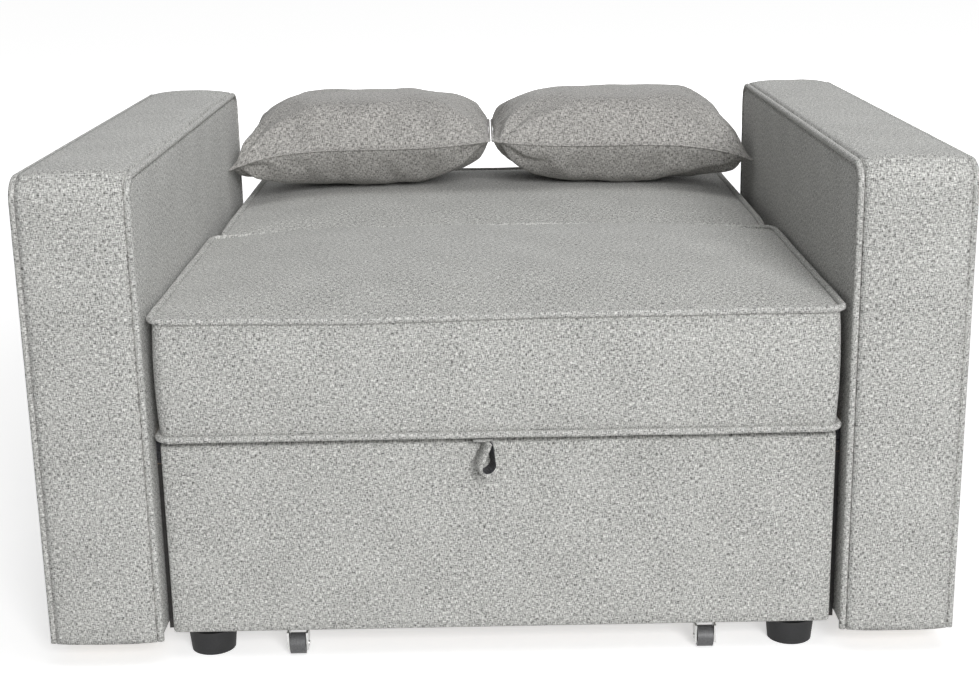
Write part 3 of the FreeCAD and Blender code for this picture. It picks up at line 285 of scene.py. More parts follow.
def piece(name, surface, body, slot_name, nodes=(), fill=None, levels=0):
    """New object from a surface, riding on a body. Its faces are turned outward."""
    mesh = bpy.data.meshes.new(name)
    mesh.from_pydata([tuple(p) for p in surface.points], [], surface.faces)
    layer = mesh.uv_layers.new(name="weave")
    layer.data.foreach_set("uv", [c for face in surface.uvs for uv in face for c in uv])
    mesh.polygons.foreach_set("use_smooth", [True] * len(mesh.polygons))
    mesh.validate()
    shell = bmesh.new()
    shell.from_mesh(mesh)
    bmesh.ops.recalc_face_normals(shell, faces=shell.faces)
    if shell.calc_volume(signed=True) < 0:
        bmesh.ops.reverse_faces(shell, faces=shell.faces)
    shell.to_mesh(mesh)
    shell.free()
    thing = bpy.data.objects.new(name, mesh)
    bpy.context.collection.objects.link(thing)
    mesh.materials.append(FINISHES[slot_name])
    if levels:
        sub = thing.modifiers.new("smooth", "SUBSURF")
        sub.levels = sub.render_levels = levels
    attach(thing, body)
    if nodes:
        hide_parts(*nodes)
    return thing


def measured(rows, offset=0.0):
    """Cloth coordinates of a grid: distances over its surface from the middle row and column."""
    tall, wide = len(rows), len(rows[0])
    across = [[0.0] * wide for _ in rows]
    along = [[0.0] * wide for _ in rows]
    for j in range(tall):
        for i in range(wide // 2 + 1, wide):
            across[j][i] = across[j][i - 1] + (rows[j][i] - rows[j][i - 1]).length
        for i in range(wide // 2 - 1, -1, -1):
            across[j][i] = across[j][i + 1] - (rows[j][i] - rows[j][i + 1]).length
    for i in range(wide):
        for j in range(tall // 2 + 1, tall):
            along[j][i] = along[j - 1][i] + (rows[j][i] - rows[j - 1][i]).length
        for j in range(tall // 2 - 1, -1, -1):
            along[j][i] = along[j + 1][i] - (rows[j][i] - rows[j + 1][i]).length
    return [[(across[j][i], along[j][i] + offset) for i in range(wide)] for j in range(tall)]


def ripple(place, size, seed=0.0):
    """Smooth noise from -1 to 1 with features of the given size."""
    return noise.noise(Vector(place) / size + Vector((seed, 1.7 * seed, -0.6 * seed)))


def tube(surface, path, radius, closed=False, sides=12, wobble=0.0, seed=0.0):
    """Round cord along a list of points, with its radius uneven by the share wobble."""
    count = len(path)
    rows, uv_rows, run = [], [], 0.0
    up = None
    for k, point in enumerate(path):
        before = path[k - 1] if (closed or k) else point
        after = path[(k + 1) % count] if (closed or k < count - 1) else point
        ahead = (after - before).normalized()
        if up is None:
            up = ahead.orthogonal().normalized()
        up = (up - ahead * up.dot(ahead)).normalized()
        side = ahead.cross(up)
        if k:
            run += (point - path[k - 1]).length
        row = []
        for j in range(sides):
            turn = 2 * math.pi * j / sides
            r = radius * (1 + wobble * ripple((run, j * 0.002, 0), 0.012, seed))
            row.append(point + r * (math.cos(turn) * up + math.sin(turn) * side))
        rows.append(row)
        uv_rows.append([(run, 2 * math.pi * radius * j / sides) for j in range(sides + 1)])
    index = surface.add(rows, uv_rows, closed=True)
    if closed:
        # The frame carried along the loop may come back turned: the last ring joins the first with that turn.
        first, last = index[0], index[-1]
        gaps = [(surface.points[i] - surface.points[last[0]]).length for i in first]
        start = gaps.index(min(gaps))
        turned = [first[(s + start) % sides] for s in range(sides)]
        end_uv = [(run + (path[0] - path[-1]).length, uv[1]) for uv in uv_rows[-1]]
        surface.join([last, turned], [uv_rows[-1], end_uv], closed=True)
    else:
        surface.cap(index[0], flip=True)
        surface.cap(index[-1])


def flat_strip(surface, stations, thickness, groove=0.0):
    """Cloth strip along (point, half its width, normal). A folded one has a groove between its layers."""
    rim, shoulder, face = (1, 0.24), (0.975, 0.5), (0.975, -0.5)
    edge = [(1 - groove, 0), (1, -0.24), face]
    profile = [shoulder, rim] + edge + [(-a, b) for a, b in reversed(edge)] + [(-1, 0.24), (-0.975, 0.5)]
    rows, uv_rows, run = [], [], 0.0
    for k, (point, across, normal) in enumerate(stations):
        if k:
            run += (point - stations[k - 1][0]).length
        half = across.length
        uv_ring = [(a * half, run) for a, _ in profile]
        rows.append([point + across * a + normal * (thickness * b) for a, b in profile])
        uv_rows.append(uv_ring + uv_ring[:1])
    index = surface.add(rows, uv_rows, closed=True)
    surface.cap(index[0], flip=True)
    surface.cap(index[-1])


def arch_path(near, far, low, top, radius, step):
    """Way up the front, over the top and down the rear: (y, z, outward normal), and the distances along it."""
    points = []
    bend = 10
    rise = top - radius - low
    count = max(2, round(rise / step))
    for k in range(count):
        points.append((near, low + rise * k / count, -1.0, 0.0))
    for k in range(bend):
        turn = QUARTER * k / bend
        points.append((near + radius - radius * math.cos(turn), top - radius + radius * math.sin(turn),
                       -math.cos(turn), math.sin(turn)))
    span = far - near - 2 * radius
    across = max(2, round(span / step))
    for k in range(across):
        points.append((near + radius + span * k / across, top, 0.0, 1.0))
    for k in range(bend):
        turn = QUARTER * k / bend
        points.append((far - radius + radius * math.sin(turn), top - radius + radius * math.cos(turn),
                       math.sin(turn), math.cos(turn)))
    for k in range(count + 1):
        points.append((far, top - radius - rise * k / count, 1.0, 0.0))
    runs, run = [0.0], 0.0
    for a, b in zip(points, points[1:]):
        run += math.hypot(b[0] - a[0], b[1] - a[1])
        runs.append(run)
    return points, runs


def with_rows_at(path, runs, places):
    """Path of arch_path with more points, at the given distances along it."""
    for place in sorted(places):
        k = next(n for n, run in enumerate(runs) if run > place)
        t = (place - runs[k - 1]) / (runs[k] - runs[k - 1])
        path.insert(k, tuple(a + t * (b - a) for a, b in zip(path[k - 1], path[k])))
        runs.insert(k, place)
    return path, runs


def spread(start, end, step, edge):
    """Places from start to end: close together within the edge at both ends, a step apart between."""
    close = [edge * k for k in (0.0, 0.1, 0.3, 0.6)]
    span = end - start - 2 * edge
    count = max(3, round(span / step))
    middle = [start + edge + span * k / count for k in range(count + 1)]
    return [start + c for c in close] + middle + [end - c for c in reversed(close)]


def rounded_grid(u0, u1, v0, v1, radius, step, edge, low_round=True):
    """Grid over a rectangle with rounded corners: rows of (u, v, distance to the edge)."""
    rows = []
    for place_v in spread(v0, v1, step, edge):
        row = []
        for place_u in spread(u0, u1, step, edge):
            u, v = place_u, place_v
            cu = min(max(u, u0 + radius), u1 - radius)
            cv = min(max(v, v0 + radius), v1 - radius)
            if not low_round and v < v0 + radius:
                cv = v
            a, b = (u - cu) / radius, (v - cv) / radius
            if a and b:
                u = cu + radius * a * math.sqrt(1 - b * b / 2)
                v = cv + radius * b * math.sqrt(1 - a * a / 2)
                away = radius - math.hypot(u - cu, v - cv)
            else:
                away = min(u - u0, u1 - u, v1 - v, v - v0)
            row.append((u, v, max(0.0, away)))
        rows.append(row)
    return rows


def border(rows):
    """Indices (row, column) around a grid, starting at the lower left and going along the first row."""
    nv, nu = len(rows) - 1, len(rows[0]) - 1
    ring = [(0, i) for i in range(nu)] + [(j, nu) for j in range(nv)]
    ring += [(nv, i) for i in range(nu, 0, -1)] + [(j, 0) for j in range(nv, 0, -1)]
    return ring


def panel(name, place, across, up, radius, depth, edge, puff, step, low_round=True, ripples=0.0006,
          seed=0.0, **kept):
    """Padded panel: flat at its back, rounded over at its edge and slightly full in its middle.

    across and up are its limits in u and v, and place turns (u, v, height) into a point.
    """
    thinnest, back, wrap, fullness, fade = 0.0006, 0.0002, 0.002, 0.05, 0.02
    surface = Surface()
    grid = rounded_grid(*across, *up, radius, step, edge, low_round)
    front_rows, back_rows, uvs = [], [], []
    for row in grid:
        front_row = []
        for u, v, d in row:
            k = min(1.0, d / edge)
            w = depth * math.sqrt(max(0.0, 1 - (1 - k) ** 2)) + puff * (1 - math.exp(-d / fullness))
            soft = min(1.0, d / fade)
            w += ripples * soft * (ripple((u, v, 0), 0.07, seed) + 0.5 * ripple((u, v, 0), 0.025, seed + 3))
            front_row.append(Vector(place(u, v, max(w, thinnest))))
        front_rows.append(front_row)
        back_rows.append([Vector(place(u, v, back)) for u, v, _ in row])
        uvs.append([(u, v) for u, v, _ in row])
    upper = surface.add(front_rows, uvs)
    lower = surface.add(back_rows, uvs, flip=True)
    ring = border(grid)
    rims = [[index[j][i] for j, i in ring] for index in (lower, upper)]
    rim_uv = [uvs[j][i] for j, i in ring + ring[:1]]
    surface.join(rims, [[(u, v - wrap) for u, v in rim_uv], rim_uv], closed=True)
    return piece(name, surface, **kept)


# Arms

def arm(side_name, side):
    """Boxing strip with two seams over front, top and rear, two welts, and a padded panel on each side."""
    low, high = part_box(side_name + "_arm_boxing")
    inner, outer = (low[0], high[0]) if side > 0 else (-high[0], -low[0])
    near, far, bottom, top = low[1], high[1], low[2], high[2]
    width = outer - inner
    radius, thick, columns = 0.028, 0.013, 18
    seam_width, fold_width, pinch_width = 0.0014, 0.012, 0.008
    inset, clear = 0.0035, 0.0043
    path, runs = arch_path(near, far, bottom, top, radius, 0.009)
    rise, bend = top - radius - bottom, 0.62 * math.pi / 2 * radius
    seams = (rise + bend, runs[-1] - rise - bend)
    shifts = (-0.003, -0.0012, 0, 0.0012, 0.003)
    path, runs = with_rows_at(path, runs, [s + shift for s in seams for shift in shifts])
    surface = Surface()
    rows, uv_rows = [], []
    for (y, z, ny, nz), run in zip(path, runs):
        row, uv_row = [], []
        groove = sum(math.exp(-((run - s) / seam_width) ** 2) for s in seams)
        fold = sum(math.exp(-((run - s) / fold_width) ** 2) for s in seams)
        for k in range(columns + 1):
            t = k / columns
            x = inner + width * t
            full = 1 - abs(2 * t - 1) ** 3.2
            pinch = math.exp(-min(t, 1 - t) * width / pinch_width)
            # Fullness with the seams' grooves, then waves in the cloth, then the pucker along the welts.
            out = 0.0012 + 0.0042 * full - 0.0020 * groove + 0.0010 * fold * full
            out += (0.0007 * full * ripple((x, run, 0), 0.06, 5 * side)
                    + 0.0004 * full * ripple((x, run, 1), 0.02, side))
            out += 0.0005 * pinch * ripple((0, run, t), 0.011, 2)
            row.append(Vector((side * x, y + ny * out, z + nz * out)))
            uv_row.append((x, run))
        for x in (outer, inner):
            row.append(Vector((side * x, y - ny * thick, z - nz * thick)))
            uv_row.append((x, run))
        rows.append(row)
        uv_rows.append(uv_row + uv_row[:1])
    index = surface.add(rows, uv_rows, closed=True, flip=side > 0)
    surface.cap(index[0], flip=side < 0)
    surface.cap(index[-1], flip=side > 0)
    piece(side_name + "_arm_boxing_cover", surface, "base", "upholstery", [side_name + "_arm_boxing"],
          fill=0.9)

    cords = Surface()
    line, _ = arch_path(near + inset, far - inset, bottom, top - inset, radius - inset, 0.006)
    for k, x in enumerate((inner - clear, outer + clear)):
        points = [Vector((side * x, y, z)) for y, z, _, _ in line]
        tube(cords, points, CORD_RADIUS, wobble=0.05, seed=k + 2 * side)
    piece(side_name + "_arm_welts", cords, "base", "upholstery", [side_name + "_arm_piping"])

    for part, sign, back_x in (("inner", -1, inner), ("outer", 1, outer)):
        def place(u, v, w, back_x=back_x, sign=sign):
            return side * (back_x + sign * w), u, v

        panel("%s_arm_%s_panel" % (side_name, part), place, (near + 0.005, far - 0.005),
              (bottom + 0.0005, top - 0.005), radius - 0.005, 0.0072, 0.009, 0.0018, 0.014, low_round=False,
              body="base", slot_name="upholstery", nodes=["%s_arm_%s_side" % (side_name, part)], fill=0.85,
              seed=7 * sign + side)


# Box cushions

def inflate(thing, pinned, pressure, cap, shrink=0.0, stiffness=14.0, bending=0.6, frames=20):
    """Cloth simulation of a stuffed cover, held along its seams. No vertex moves farther than cap."""
    group = thing.vertex_groups.new(name="seam")
    group.add(list(pinned), 1.0, "REPLACE")
    stack = [(m.name, m.show_viewport) for m in thing.modifiers]
    for name, _ in stack:
        thing.modifiers[name].show_viewport = False
    cloth = thing.modifiers.new("cover", "CLOTH")
    rules = cloth.settings
    rules.quality = 5
    rules.mass = 0.3
    rules.tension_stiffness = rules.compression_stiffness = stiffness
    rules.shear_stiffness = 5.0
    rules.bending_stiffness = bending
    rules.use_pressure = True
    rules.uniform_pressure_force = pressure
    rules.effector_weights.gravity = 0.0
    rules.vertex_group_mass = "seam"
    rules.shrink_min = rules.shrink_max = shrink
    cloth.collision_settings.use_collision = False
    cloth.point_cache.frame_start = 1
    cloth.point_cache.frame_end = frames
    scene = bpy.context.scene
    for number in range(1, frames + 1):
        scene.frame_set(number)
    shaped = thing.evaluated_get(bpy.context.evaluated_depsgraph_get()).to_mesh()
    moved = [v.co.copy() for v in shaped.vertices]
    thing.modifiers.remove(cloth)
    scene.frame_set(1)
    for vertex, place in zip(thing.data.vertices, moved):
        step = place - vertex.co
        far = step.length
        if far > 1e-9:
            vertex.co += step * (cap * math.tanh(far / cap) / far)
    for name, shown in stack:
        thing.modifiers[name].show_viewport = shown
    thing.data.update()


def seam_cord(cords, path, closeness, seed):
    """Closed welt along a seam: places closer than closeness are left out, and long steps are divided."""
    kept = []
    for point in path:
        if not kept or (point - kept[-1]).length > closeness:
            kept.append(point)
    fine = []
    for n, point in enumerate(kept):
        after = kept[(n + 1) % len(kept)]
        parts = max(1, round((after - point).length / 0.006))
        fine += [point.lerp(after, m / parts) for m in range(parts)]
    tube(cords, fine, CORD_RADIUS, closed=True, sides=10, wobble=0.06, seed=seed)


def box_cushion(name, low, high, corner, crown, bulge, step, body, slot_name, nodes, swells, piping_name,
                piping_nodes=(), bow=0.0, sag=0.0, roll=0.0, welt=0.004, seed=0.0):
    """Box cushion: full upper panel, boxing strip between two welts and a flat lower panel.

    swells are the distances in which the crown rises from the sides, the near and the far end. The far upper
    seam bows up in its middle, the near one sags a little, and the near end may be rolled back and down.
    """
    x0, y0, z0 = low
    x1, y1, z1 = high
    edge, seam_waver, cord_out = 0.012, 0.004, 0.0028
    seam_low, seam_high = z0 + welt, z1 - welt
    grid = rounded_grid(x0 + welt, x1 - welt, y0 + welt, y1 - welt, corner, step, edge)
    surface = Surface()
    top, base, uvs = [], [], []
    for row in grid:
        top_row, base_row = [], []
        for x, y, d in row:
            # Crown, waves in the cloth, the bowed far seam, the sagging near one, and the seams' waver.
            rise = crown
            for away, swell in zip((min(x - x0, x1 - x) - welt, y - y0 - welt, y1 - welt - y), swells):
                rise *= 1 - math.exp(-max(0.0, away) / swell)
            rise += 0.0012 * min(1, d / 0.03) * ripple((x, y, 0), 0.09, seed)
            across = (2 * x - x0 - x1) / (x1 - x0)
            rise += bow * (1 - across ** 2) * math.exp(-(y1 - welt - y) / 0.06)
            rise -= sag * math.exp(-((across + 0.42) / 0.4) ** 2) * math.exp(-(y - y0 - welt) / 0.05)
            rise += 0.0010 * ripple((x, y, 3), 0.07, seed) * math.exp(-d / seam_waver)
            turned = roll * math.exp(-(y - y0 - welt) / 0.022)
            top_row.append(Vector((x, y + turned, seam_high + rise - 0.55 * turned)))
            waver = 0.0006 * ripple((x, y, 5), 0.07, seed) * math.exp(-d / seam_waver)
            base_row.append(Vector((x, y, seam_low + waver)))
        top.append(top_row)
        base.append(base_row)
        uvs.append([(x, y) for x, y, _ in row])
    upper = surface.add(top, uvs)
    lower = surface.add(base, uvs, flip=True)

    ring = border(grid)
    around = [0.0]
    for (j, i), (m, k) in zip(ring, ring[1:] + ring[:1]):
        a, b = grid[j][i], grid[m][k]
        around.append(around[-1] + math.hypot(a[0] - b[0], a[1] - b[1]))
    foot = [base[j][i] for j, i in ring]
    outward = []
    for n in range(len(ring)):
        ahead = (foot[(n + 1) % len(ring)] - foot[n - 1]).normalized()
        outward.append(Vector((ahead.y, -ahead.x, 0)))
    tall = max(4, round((seam_high - seam_low) / step))
    strip = [[lower[j][i] for j, i in ring]]
    for level in range(1, tall):
        t = level / tall
        row = []
        for n, (j, i) in enumerate(ring):
            p = base[j][i].lerp(top[j][i], t)
            out = bulge * (1 - abs(2 * t - 1) ** 2.2)
            out += 0.0009 * math.sin(math.pi * t) * ripple((p.x, p.y, 4 * p.z), 0.05, seed + 9)
            row.append(len(surface.points))
            surface.points.append(p + outward[n] * out)
        strip.append(row)
    strip.append([upper[j][i] for j, i in ring])
    heights = [level / tall * (seam_high - seam_low) for level in range(tall + 1)]
    surface.join(strip, [[(s, height) for s in around] for height in heights], closed=True)
    cover = piece(name, surface, body, slot_name, nodes, fill=0.75, levels=1)
    inflate(cover, set(strip[0]) | set(strip[-1]), 3.0, 0.012)

    cords = Surface()
    for row, rise in ((strip[0], -0.25 * welt), (strip[-1], 0.25 * welt)):
        lift = Vector((0, 0, rise))
        path = [surface.points[index] + outward[n] * cord_out + lift for n, index in enumerate(row)]
        seam_cord(cords, path, 0.003, seed)
    piece(piping_name, cords, body, slot_name, piping_nodes)


# Pillows

def pillow_point(side, face, u, v, middle, half):
    """Point of a pillow's upper (face 1) or lower (face -1) sheet, with u and v from -1 to 1."""
    within = side * u < 0
    full = max(0.0, 1 - abs(u) ** 2.5) ** 0.55 * max(0.0, 1 - abs(v) ** 2.5) ** 0.55
    x = half[0] * u * (1 - (0.0 if within else 0.045) * (1 - v * v) * abs(u) ** 3)
    y = half[1] * v * (1 - 0.05 * (1 - u * u) * abs(v) ** 3)
    # Folds that run out from each ear, then waves over the whole sheet.
    folds = 0.0
    for a in (-1, 1):
        for b in (-1, 1):
            dx, dy = half[0] - a * x, half[1] - b * y
            away = math.hypot(dx, dy)
            bearing = math.atan2(dy, dx) + 0.35 * ripple((a, b, face), 0.7, side)
            folds += (0.0075 * math.cos(9.0 * bearing + a + 2 * b) * min(1.0, away / 0.035)
                      * math.exp(-max(0.0, away - 0.05) / 0.06))
    folds += 0.0070 * full * ripple((1.3 * x, 0.8 * y, face), 0.06, 4 + side)
    tall = (0.93 if face > 0 else 0.92 + 0.06 * v) * half[2]
    return middle + Vector((x, y, face * tall * full + folds * min(1.0, 3 * full)))


def settle(thing, side, middle, half):
    """Droops the outer near ear of a filled pillow, lifts the inner one and keeps all within its height."""
    margin = 0.008
    limit = half[2] - 0.001
    for vertex in thing.data.vertices:
        x, y, z = vertex.co - middle
        outer = max(0.0, side * x / half[0])
        inner = max(0.0, -side * x / half[0])
        near = 0.5 - 0.5 * y / half[1]
        z += -0.027 * outer ** 3 * (0.1 + 0.9 * near) + 0.011 * inner ** 3 * near + 0.003
        for sign in (-1, 1):
            past = sign * z - limit + margin
            if past > 0:
                z = sign * (limit - margin * math.exp(-past / margin))
        vertex.co = middle + Vector((x, y, z))
    thing.data.update()


def pillow(side_name, side):
    """Knife-edged pillow: two sheets joined at their rim, filled, and settled on the backrest."""
    low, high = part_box(side_name + "_pillow")
    middle = Vector([(low[k] + high[k]) / 2 for k in range(3)])
    half = [(high[k] - low[k]) / 2 for k in range(3)]
    count_x, count_y = 60, 52
    sheets = []
    for face in (1, -1):
        rows = []
        for j in range(count_y + 1):
            row = []
            for i in range(count_x + 1):
                u, v = 2 * i / count_x - 1, 2 * j / count_y - 1
                u = 0.45 * math.sin(math.pi / 2 * u) + 0.55 * u
                v = 0.45 * math.sin(math.pi / 2 * v) + 0.55 * v
                row.append(pillow_point(side, face, u, v, middle, half))
            rows.append(row)
        sheets.append((rows, measured(rows, 0.5 * face)))
    surface = Surface()
    upper = surface.add(*sheets[0])
    ring = border(sheets[0][0])
    rim = set(ring)
    lower = []
    for j, row in enumerate(sheets[1][0]):
        index = []
        for i, point in enumerate(row):
            if (j, i) in rim:
                index.append(upper[j][i])
            else:
                index.append(len(surface.points))
                surface.points.append(point)
        lower.append(index)
    surface.join(lower, sheets[1][1], flip=True)
    body = side_name + "_pillow"
    thing = piece(side_name + "_pillow_cover", surface, body, "pillow_fabric", [body], fill=0.6, levels=1)
    inflate(thing, {upper[j][i] for j, i in rim}, 3.0, 0.008, shrink=-0.04, stiffness=15.0, bending=0.3)
    settle(thing, side, middle, half)

    seam = Surface()
    path = []
    for j, i in ring:
        point = thing.data.vertices[upper[j][i]].co.copy()
        if not path or (point - path[-1]).length > 0.004:
            path.append(point)
    tube(seam, path, 0.0014, closed=True, sides=8, wobble=0.1, seed=side)
    piece(side_name + "_pillow_seam", seam, body, "pillow_fabric")


# Front panel, rear panel and band of the back

def front_panel():
    low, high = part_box("front_panel_cover")

    def place(u, v, w):
        return u, high[1] - w, v

    panel("front_panel_padding", place, (low[0] + 0.001, high[0] - 0.001),
          (low[2] + 0.0003, high[2] - 0.0005), 0.006, high[1] - low[1] - 0.0015, 0.0045, 0.0016, 0.011,
          body="drawer", slot_name="upholstery", nodes=["front_panel_cover"], fill=0.85, seed=11.0)


def seat_rail_shade_lining():
    """Black lining over the front rail of the seat frame, above the drawer: a dark sheet that paints the shade
    in the gap there.
    """
    low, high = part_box("seat_frame")

    def place(u, v, w):
        return u, low[1] - w, v

    panel("seat_rail_shade_lining", place, (-high[0], high[0]), (low[2] + 0.0005, high[2] - 0.0005), 0.002, 0.0009,
          0.002, 0.0, 0.03, ripples=0.0001, body="base", slot_name="webbing", seed=12.0)


def back_underside():
    low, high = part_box("back_rear_panel")

    def place(u, v, w):
        return u, v, high[2] - w

    panel("back_underside_cloth", place, (low[0], high[0]), (low[1], high[1]), 0.008, 0.0024, 0.004, 0.0006,
          0.02, body="backrest", slot_name="upholstery", nodes=["back_rear_panel"], fill=0.3, seed=13.0)


def back_edge_band():
    """Cloth band around the sides and the far end of the back's frame."""
    low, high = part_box("back_frame_band")
    mid_z, half_h = (low[2] + high[2]) / 2, (high[2] - low[2]) / 2 - 0.0005
    inset, bend = 0.0015, 0.01
    x, far, start = high[0] - inset, high[1] - inset, low[1]
    turns = [QUARTER * k / 6 for k in range(1, 7)]
    line = [(-x, start + (far - bend - start) * k / 20) for k in range(21)]
    line += [(-x + bend * (1 - math.cos(a)), far - bend + bend * math.sin(a)) for a in turns]
    line += [(-x + bend + (2 * x - 2 * bend) * k / 30, far) for k in range(1, 31)]
    line += [(x - bend + bend * math.sin(a), far - bend + bend * math.cos(a)) for a in turns]
    line += [(x, far - bend - (far - bend - start) * k / 20) for k in range(1, 21)]
    line = [Vector((a, b, mid_z)) for a, b in line]
    strip = []
    for k, point in enumerate(line):
        ahead = (line[min(k + 1, len(line) - 1)] - line[max(k - 1, 0)]).normalized()
        strip.append((point, Z_AXIS * half_h, Vector((-ahead.y, ahead.x, 0))))
    surface = Surface()
    flat_strip(surface, strip, 0.0026)
    piece("back_edge_band", surface, "backrest", "upholstery", ["back_frame_band"], fill=0.3)


# Webbing and pull strap

def webbing(name, node, body, count=5, width=0.050):
    """Straps side by side across a frame, each with a slight sag."""
    low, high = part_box(node)
    surface = Surface()
    middle = (low[2] + high[2]) / 2
    for k in range(count):
        y = low[1] + width / 2 + (high[1] - low[1] - width) * k / (count - 1)
        strip = []
        for m in range(41):
            t = m / 40
            sag = 0.0006 * math.sin(math.pi * t)
            point = Vector((low[0] + (high[0] - low[0]) * t, y, middle - sag))
            strip.append((point, Y_AXIS * (width / 2), Z_AXIS))
        flat_strip(surface, strip, high[2] - low[2] - 0.0006)
    piece(name, surface, body, "webbing", [node])


def pull_strap():
    """Ribbon folded to a teardrop loop that hangs below a short tab, with a dark sheet inside the loop that
    paints the shade of its hollow.
    """
    top_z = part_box("pull_strap")[1][2]
    turn = math.radians(17)
    loop_centre = Vector((-0.0125, -0.521, 0))
    along = Vector((-math.sin(turn), math.cos(turn), 0))
    across = Vector((math.cos(turn), math.sin(turn), 0))
    drop, radius, half_width, half_gap, swing, groove = 0.040, 0.0100, 0.0119, 0.0022, 0.007, 0.12
    centre_z = top_z - drop + radius + 0.0012
    lean = math.asin(radius / (top_z - centre_z))

    def leg(t, sign):
        """Point of a straight leg, from the tab (t 0) to the loop (t 1)."""
        return (sign * (half_gap + (radius * math.cos(lean) - half_gap) * t),
                top_z - 0.001 + (centre_z + radius * math.sin(lean) - top_z) * t)

    sweep = [lean - (math.pi + 2 * lean) * k / 16 for k in range(17)]
    line = [leg(k / 8, 1) for k in range(8)]
    line += [(radius * math.cos(a), centre_z + radius * math.sin(a)) for a in sweep]
    line += [leg(1 - k / 8, -1) for k in range(1, 9)]
    line = [(a - swing * (top_z - z) / drop + 0.003, z) for a, z in line]
    strip = []
    for k, (a, z) in enumerate(line):
        before, after = line[max(k - 1, 0)], line[min(k + 1, len(line) - 1)]
        ahead = across * (after[0] - before[0]) + Vector((0, 0, after[1] - before[1]))
        ahead.normalize()
        normal = ahead.cross(along).normalized()
        strip.append((loop_centre + across * a + Vector((0, 0, z)), along * half_width, normal))
    surface = Surface()
    flat_strip(surface, strip, 0.0032, groove)
    tab = [(Vector((-0.018, -0.518 + 0.032 * k / 6, top_z - 0.0012)), X_AXIS * half_width, Z_AXIS)
           for k in range(7)]
    flat_strip(surface, tab, 0.0022, groove)
    piece("pull_strap_ribbon", surface, "drawer", "upholstery", ["pull_strap"])

    # Dark sheet just inside the loop, in the black webbing cloth: painted shade of the loop's hollow.
    surface = Surface()
    inside = [(point - normal * 0.0018, half * 0.95, normal) for point, half, normal in strip]
    flat_strip(surface, inside, 0.0005)
    piece("pull_strap_shade_lining", surface, "drawer", "webbing")


# Floor, light and camera

def background_ray(tree):
    """1 for the rays that should see the white background: from the camera, and through gloss and glass."""
    path = tree.nodes.new("ShaderNodeLightPath")
    seen = math_node(tree, "MAXIMUM", path.outputs["Is Camera Ray"], path.outputs["Is Glossy Ray"])
    return math_node(tree, "MAXIMUM", seen, path.outputs["Is Transmission Ray"])


def floor():
    """Pale floor that keeps the shadow near the object and turns white away from it."""
    size = 30.0
    shadow_reach, fade, glow_near, glow_rise = 1.2, 0.4, 0.58, 0.30
    mesh = bpy.data.meshes.new("floor")
    corners = [(-size, -size, 0), (size, -size, 0), (size, size, 0), (-size, size, 0)]
    mesh.from_pydata(corners, [], [(0, 1, 2, 3)])
    thing = bpy.data.objects.new("floor", mesh)
    bpy.context.collection.objects.link(thing)
    mat = bpy.data.materials.new("floor_white")
    mat.use_nodes = True
    tree = mat.node_tree
    tree.nodes.clear()
    out = tree.nodes.new("ShaderNodeOutputMaterial")
    lit = tree.nodes.new("ShaderNodeBsdfDiffuse")
    lit.inputs[0].default_value = (0.80, 0.80, 0.80, 1)
    glow = tree.nodes.new("ShaderNodeEmission")
    glow.inputs[0].default_value = (1, 1, 1, 1)
    away = tree.nodes.new("ShaderNodeVectorMath")
    away.operation = "LENGTH"
    tree.links.new(object_coordinates(tree), away.inputs[0])
    past = math_node(tree, "SUBTRACT", away.outputs["Value"], shadow_reach)
    level = scaled(tree, math_node(tree, "MULTIPLY", past, fade, clamp=True), glow_rise, glow_near)
    tree.links.new(math_node(tree, "MULTIPLY", background_ray(tree), level), glow.inputs[1])
    both = tree.nodes.new("ShaderNodeAddShader")
    tree.links.new(lit.outputs[0], both.inputs[0])
    tree.links.new(glow.outputs[0], both.inputs[1])
    tree.links.new(both.outputs[0], out.inputs[0])
    mesh.materials.append(mat)


def world():
    """Weak even light, and a white background."""
    sky = bpy.data.worlds.new("studio")
    bpy.context.scene.world = sky
    sky.use_nodes = True
    tree = sky.node_tree
    tree.nodes.clear()
    out = tree.nodes.new("ShaderNodeOutputWorld")
    soft = tree.nodes.new("ShaderNodeBackground")
    soft.inputs[1].default_value = 0.14
    white = tree.nodes.new("ShaderNodeBackground")
    white.inputs[0].default_value = (1, 1, 1, 1)
    mix = tree.nodes.new("ShaderNodeMixShader")
    tree.links.new(background_ray(tree), mix.inputs[0])
    tree.links.new(soft.outputs[0], mix.inputs[1])
    tree.links.new(white.outputs[0], mix.inputs[2])
    tree.links.new(mix.outputs[0], out.inputs[0])


def lamp(name, place, target, size, power):
    """Square area lamp that faces a point."""
    light = bpy.data.lights.new(name, "AREA")
    light.shape = "RECTANGLE"
    light.size = light.size_y = size
    light.energy = power
    thing = bpy.data.objects.new(name, light)
    bpy.context.collection.objects.link(thing)
    thing.location = place
    thing.rotation_euler = (Vector(target) - Vector(place)).to_track_quat("-Z", "Y").to_euler()


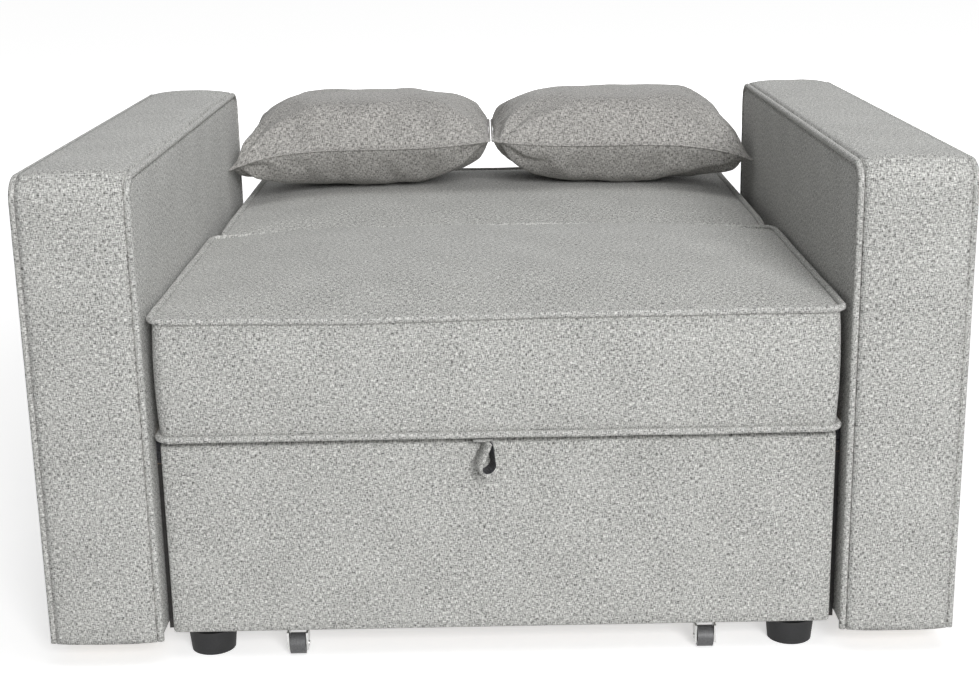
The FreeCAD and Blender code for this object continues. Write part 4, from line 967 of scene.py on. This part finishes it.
def camera():
    """Camera of the photograph: its place, pitch, yaw and roll, fitted to the photograph's frame."""
    place = Vector((-0.0087, -2.3341, 0.8933))
    pitch, yaw, roll = math.radians(15.433), math.radians(0.008), math.radians(1.056)
    ahead = Vector((math.sin(yaw) * math.cos(pitch), math.cos(yaw) * math.cos(pitch), -math.sin(pitch)))
    right = Vector((math.cos(yaw), -math.sin(yaw), 0))
    down = ahead.cross(right)
    right, down = (math.cos(roll) * right + math.sin(roll) * down,
                   -math.sin(roll) * right + math.cos(roll) * down)
    eye = bpy.data.cameras.new("photo_camera")
    eye.sensor_fit = "HORIZONTAL"
    eye.sensor_width = SENSOR_WIDTH
    eye.lens = FOCAL_PIXELS * SENSOR_WIDTH / PHOTO_WIDTH
    eye.clip_end = 100.0
    thing = bpy.data.objects.new("photo_camera", eye)
    bpy.context.collection.objects.link(thing)
    turn = Matrix((right, -down, -ahead)).transposed().to_4x4()
    thing.matrix_world = Matrix.Translation(place) @ turn
    bpy.context.scene.camera = thing


# The model

for side_name, side in SIDES:
    arm(side_name, side)

low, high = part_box("seat_cushion")
box_cushion("seat_cushion_cover", (low[0] + 0.002, low[1] + 0.002, low[2]),
            (high[0] - 0.002, high[1] - 0.002, SEAT_TOP), 0.016, 0.0205, 0.003, 0.012, "base", "upholstery",
            ["seat_cushion"], (0.085, 0.06, 0.014), "seat_cushion_welts", ["seat_piping"], bow=0.011,
            sag=0.0035, seed=1.0)
low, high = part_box("back_cushion")
box_cushion("back_cushion_cover", (low[0] + 0.001, low[1], low[2]),
            (high[0] - 0.001, high[1] - 0.001, SEAT_TOP), 0.016, 0.0085, 0.002, 0.012, "backrest", "upholstery",
            ["back_cushion"], (0.06, 0.06, 0.06), "back_cushion_welts", ["back_piping"], roll=0.016, seed=2.0)
low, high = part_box("pull_out_mattress")
box_cushion("mattress_cover", (low[0] + 0.002, low[1] + 0.002, low[2]),
            (high[0] - 0.002, high[1] - 0.002, MATTRESS_TOP), 0.022, 0.0055, 0.001, 0.014, "drawer",
            "mattress_fabric", ["pull_out_mattress"], (0.06, 0.06, 0.06), "mattress_welts", seed=3.0)

for side_name, side in SIDES:
    pillow(side_name, side)

front_panel()
seat_rail_shade_lining()
back_underside()
back_edge_band()
webbing("seat_web_straps", "seat_webbing", "base")
webbing("back_web_straps", "back_webbing", "backrest")
pull_strap()

floor()
world()
lamp("key", (2.1, -7.5, 3.6), (0, -0.3, 0.35), 3.0, 480)
lamp("top", (0.4, -0.7, 3.0), (0, -0.2, 0.3), 2.0, 26)
lamp("rear", (0.2, 6.2, 1.9), (0, 0.4, 0.3), 3.0, 110)
camera()
bpy.context.scene.view_settings.view_transform = "Standard"
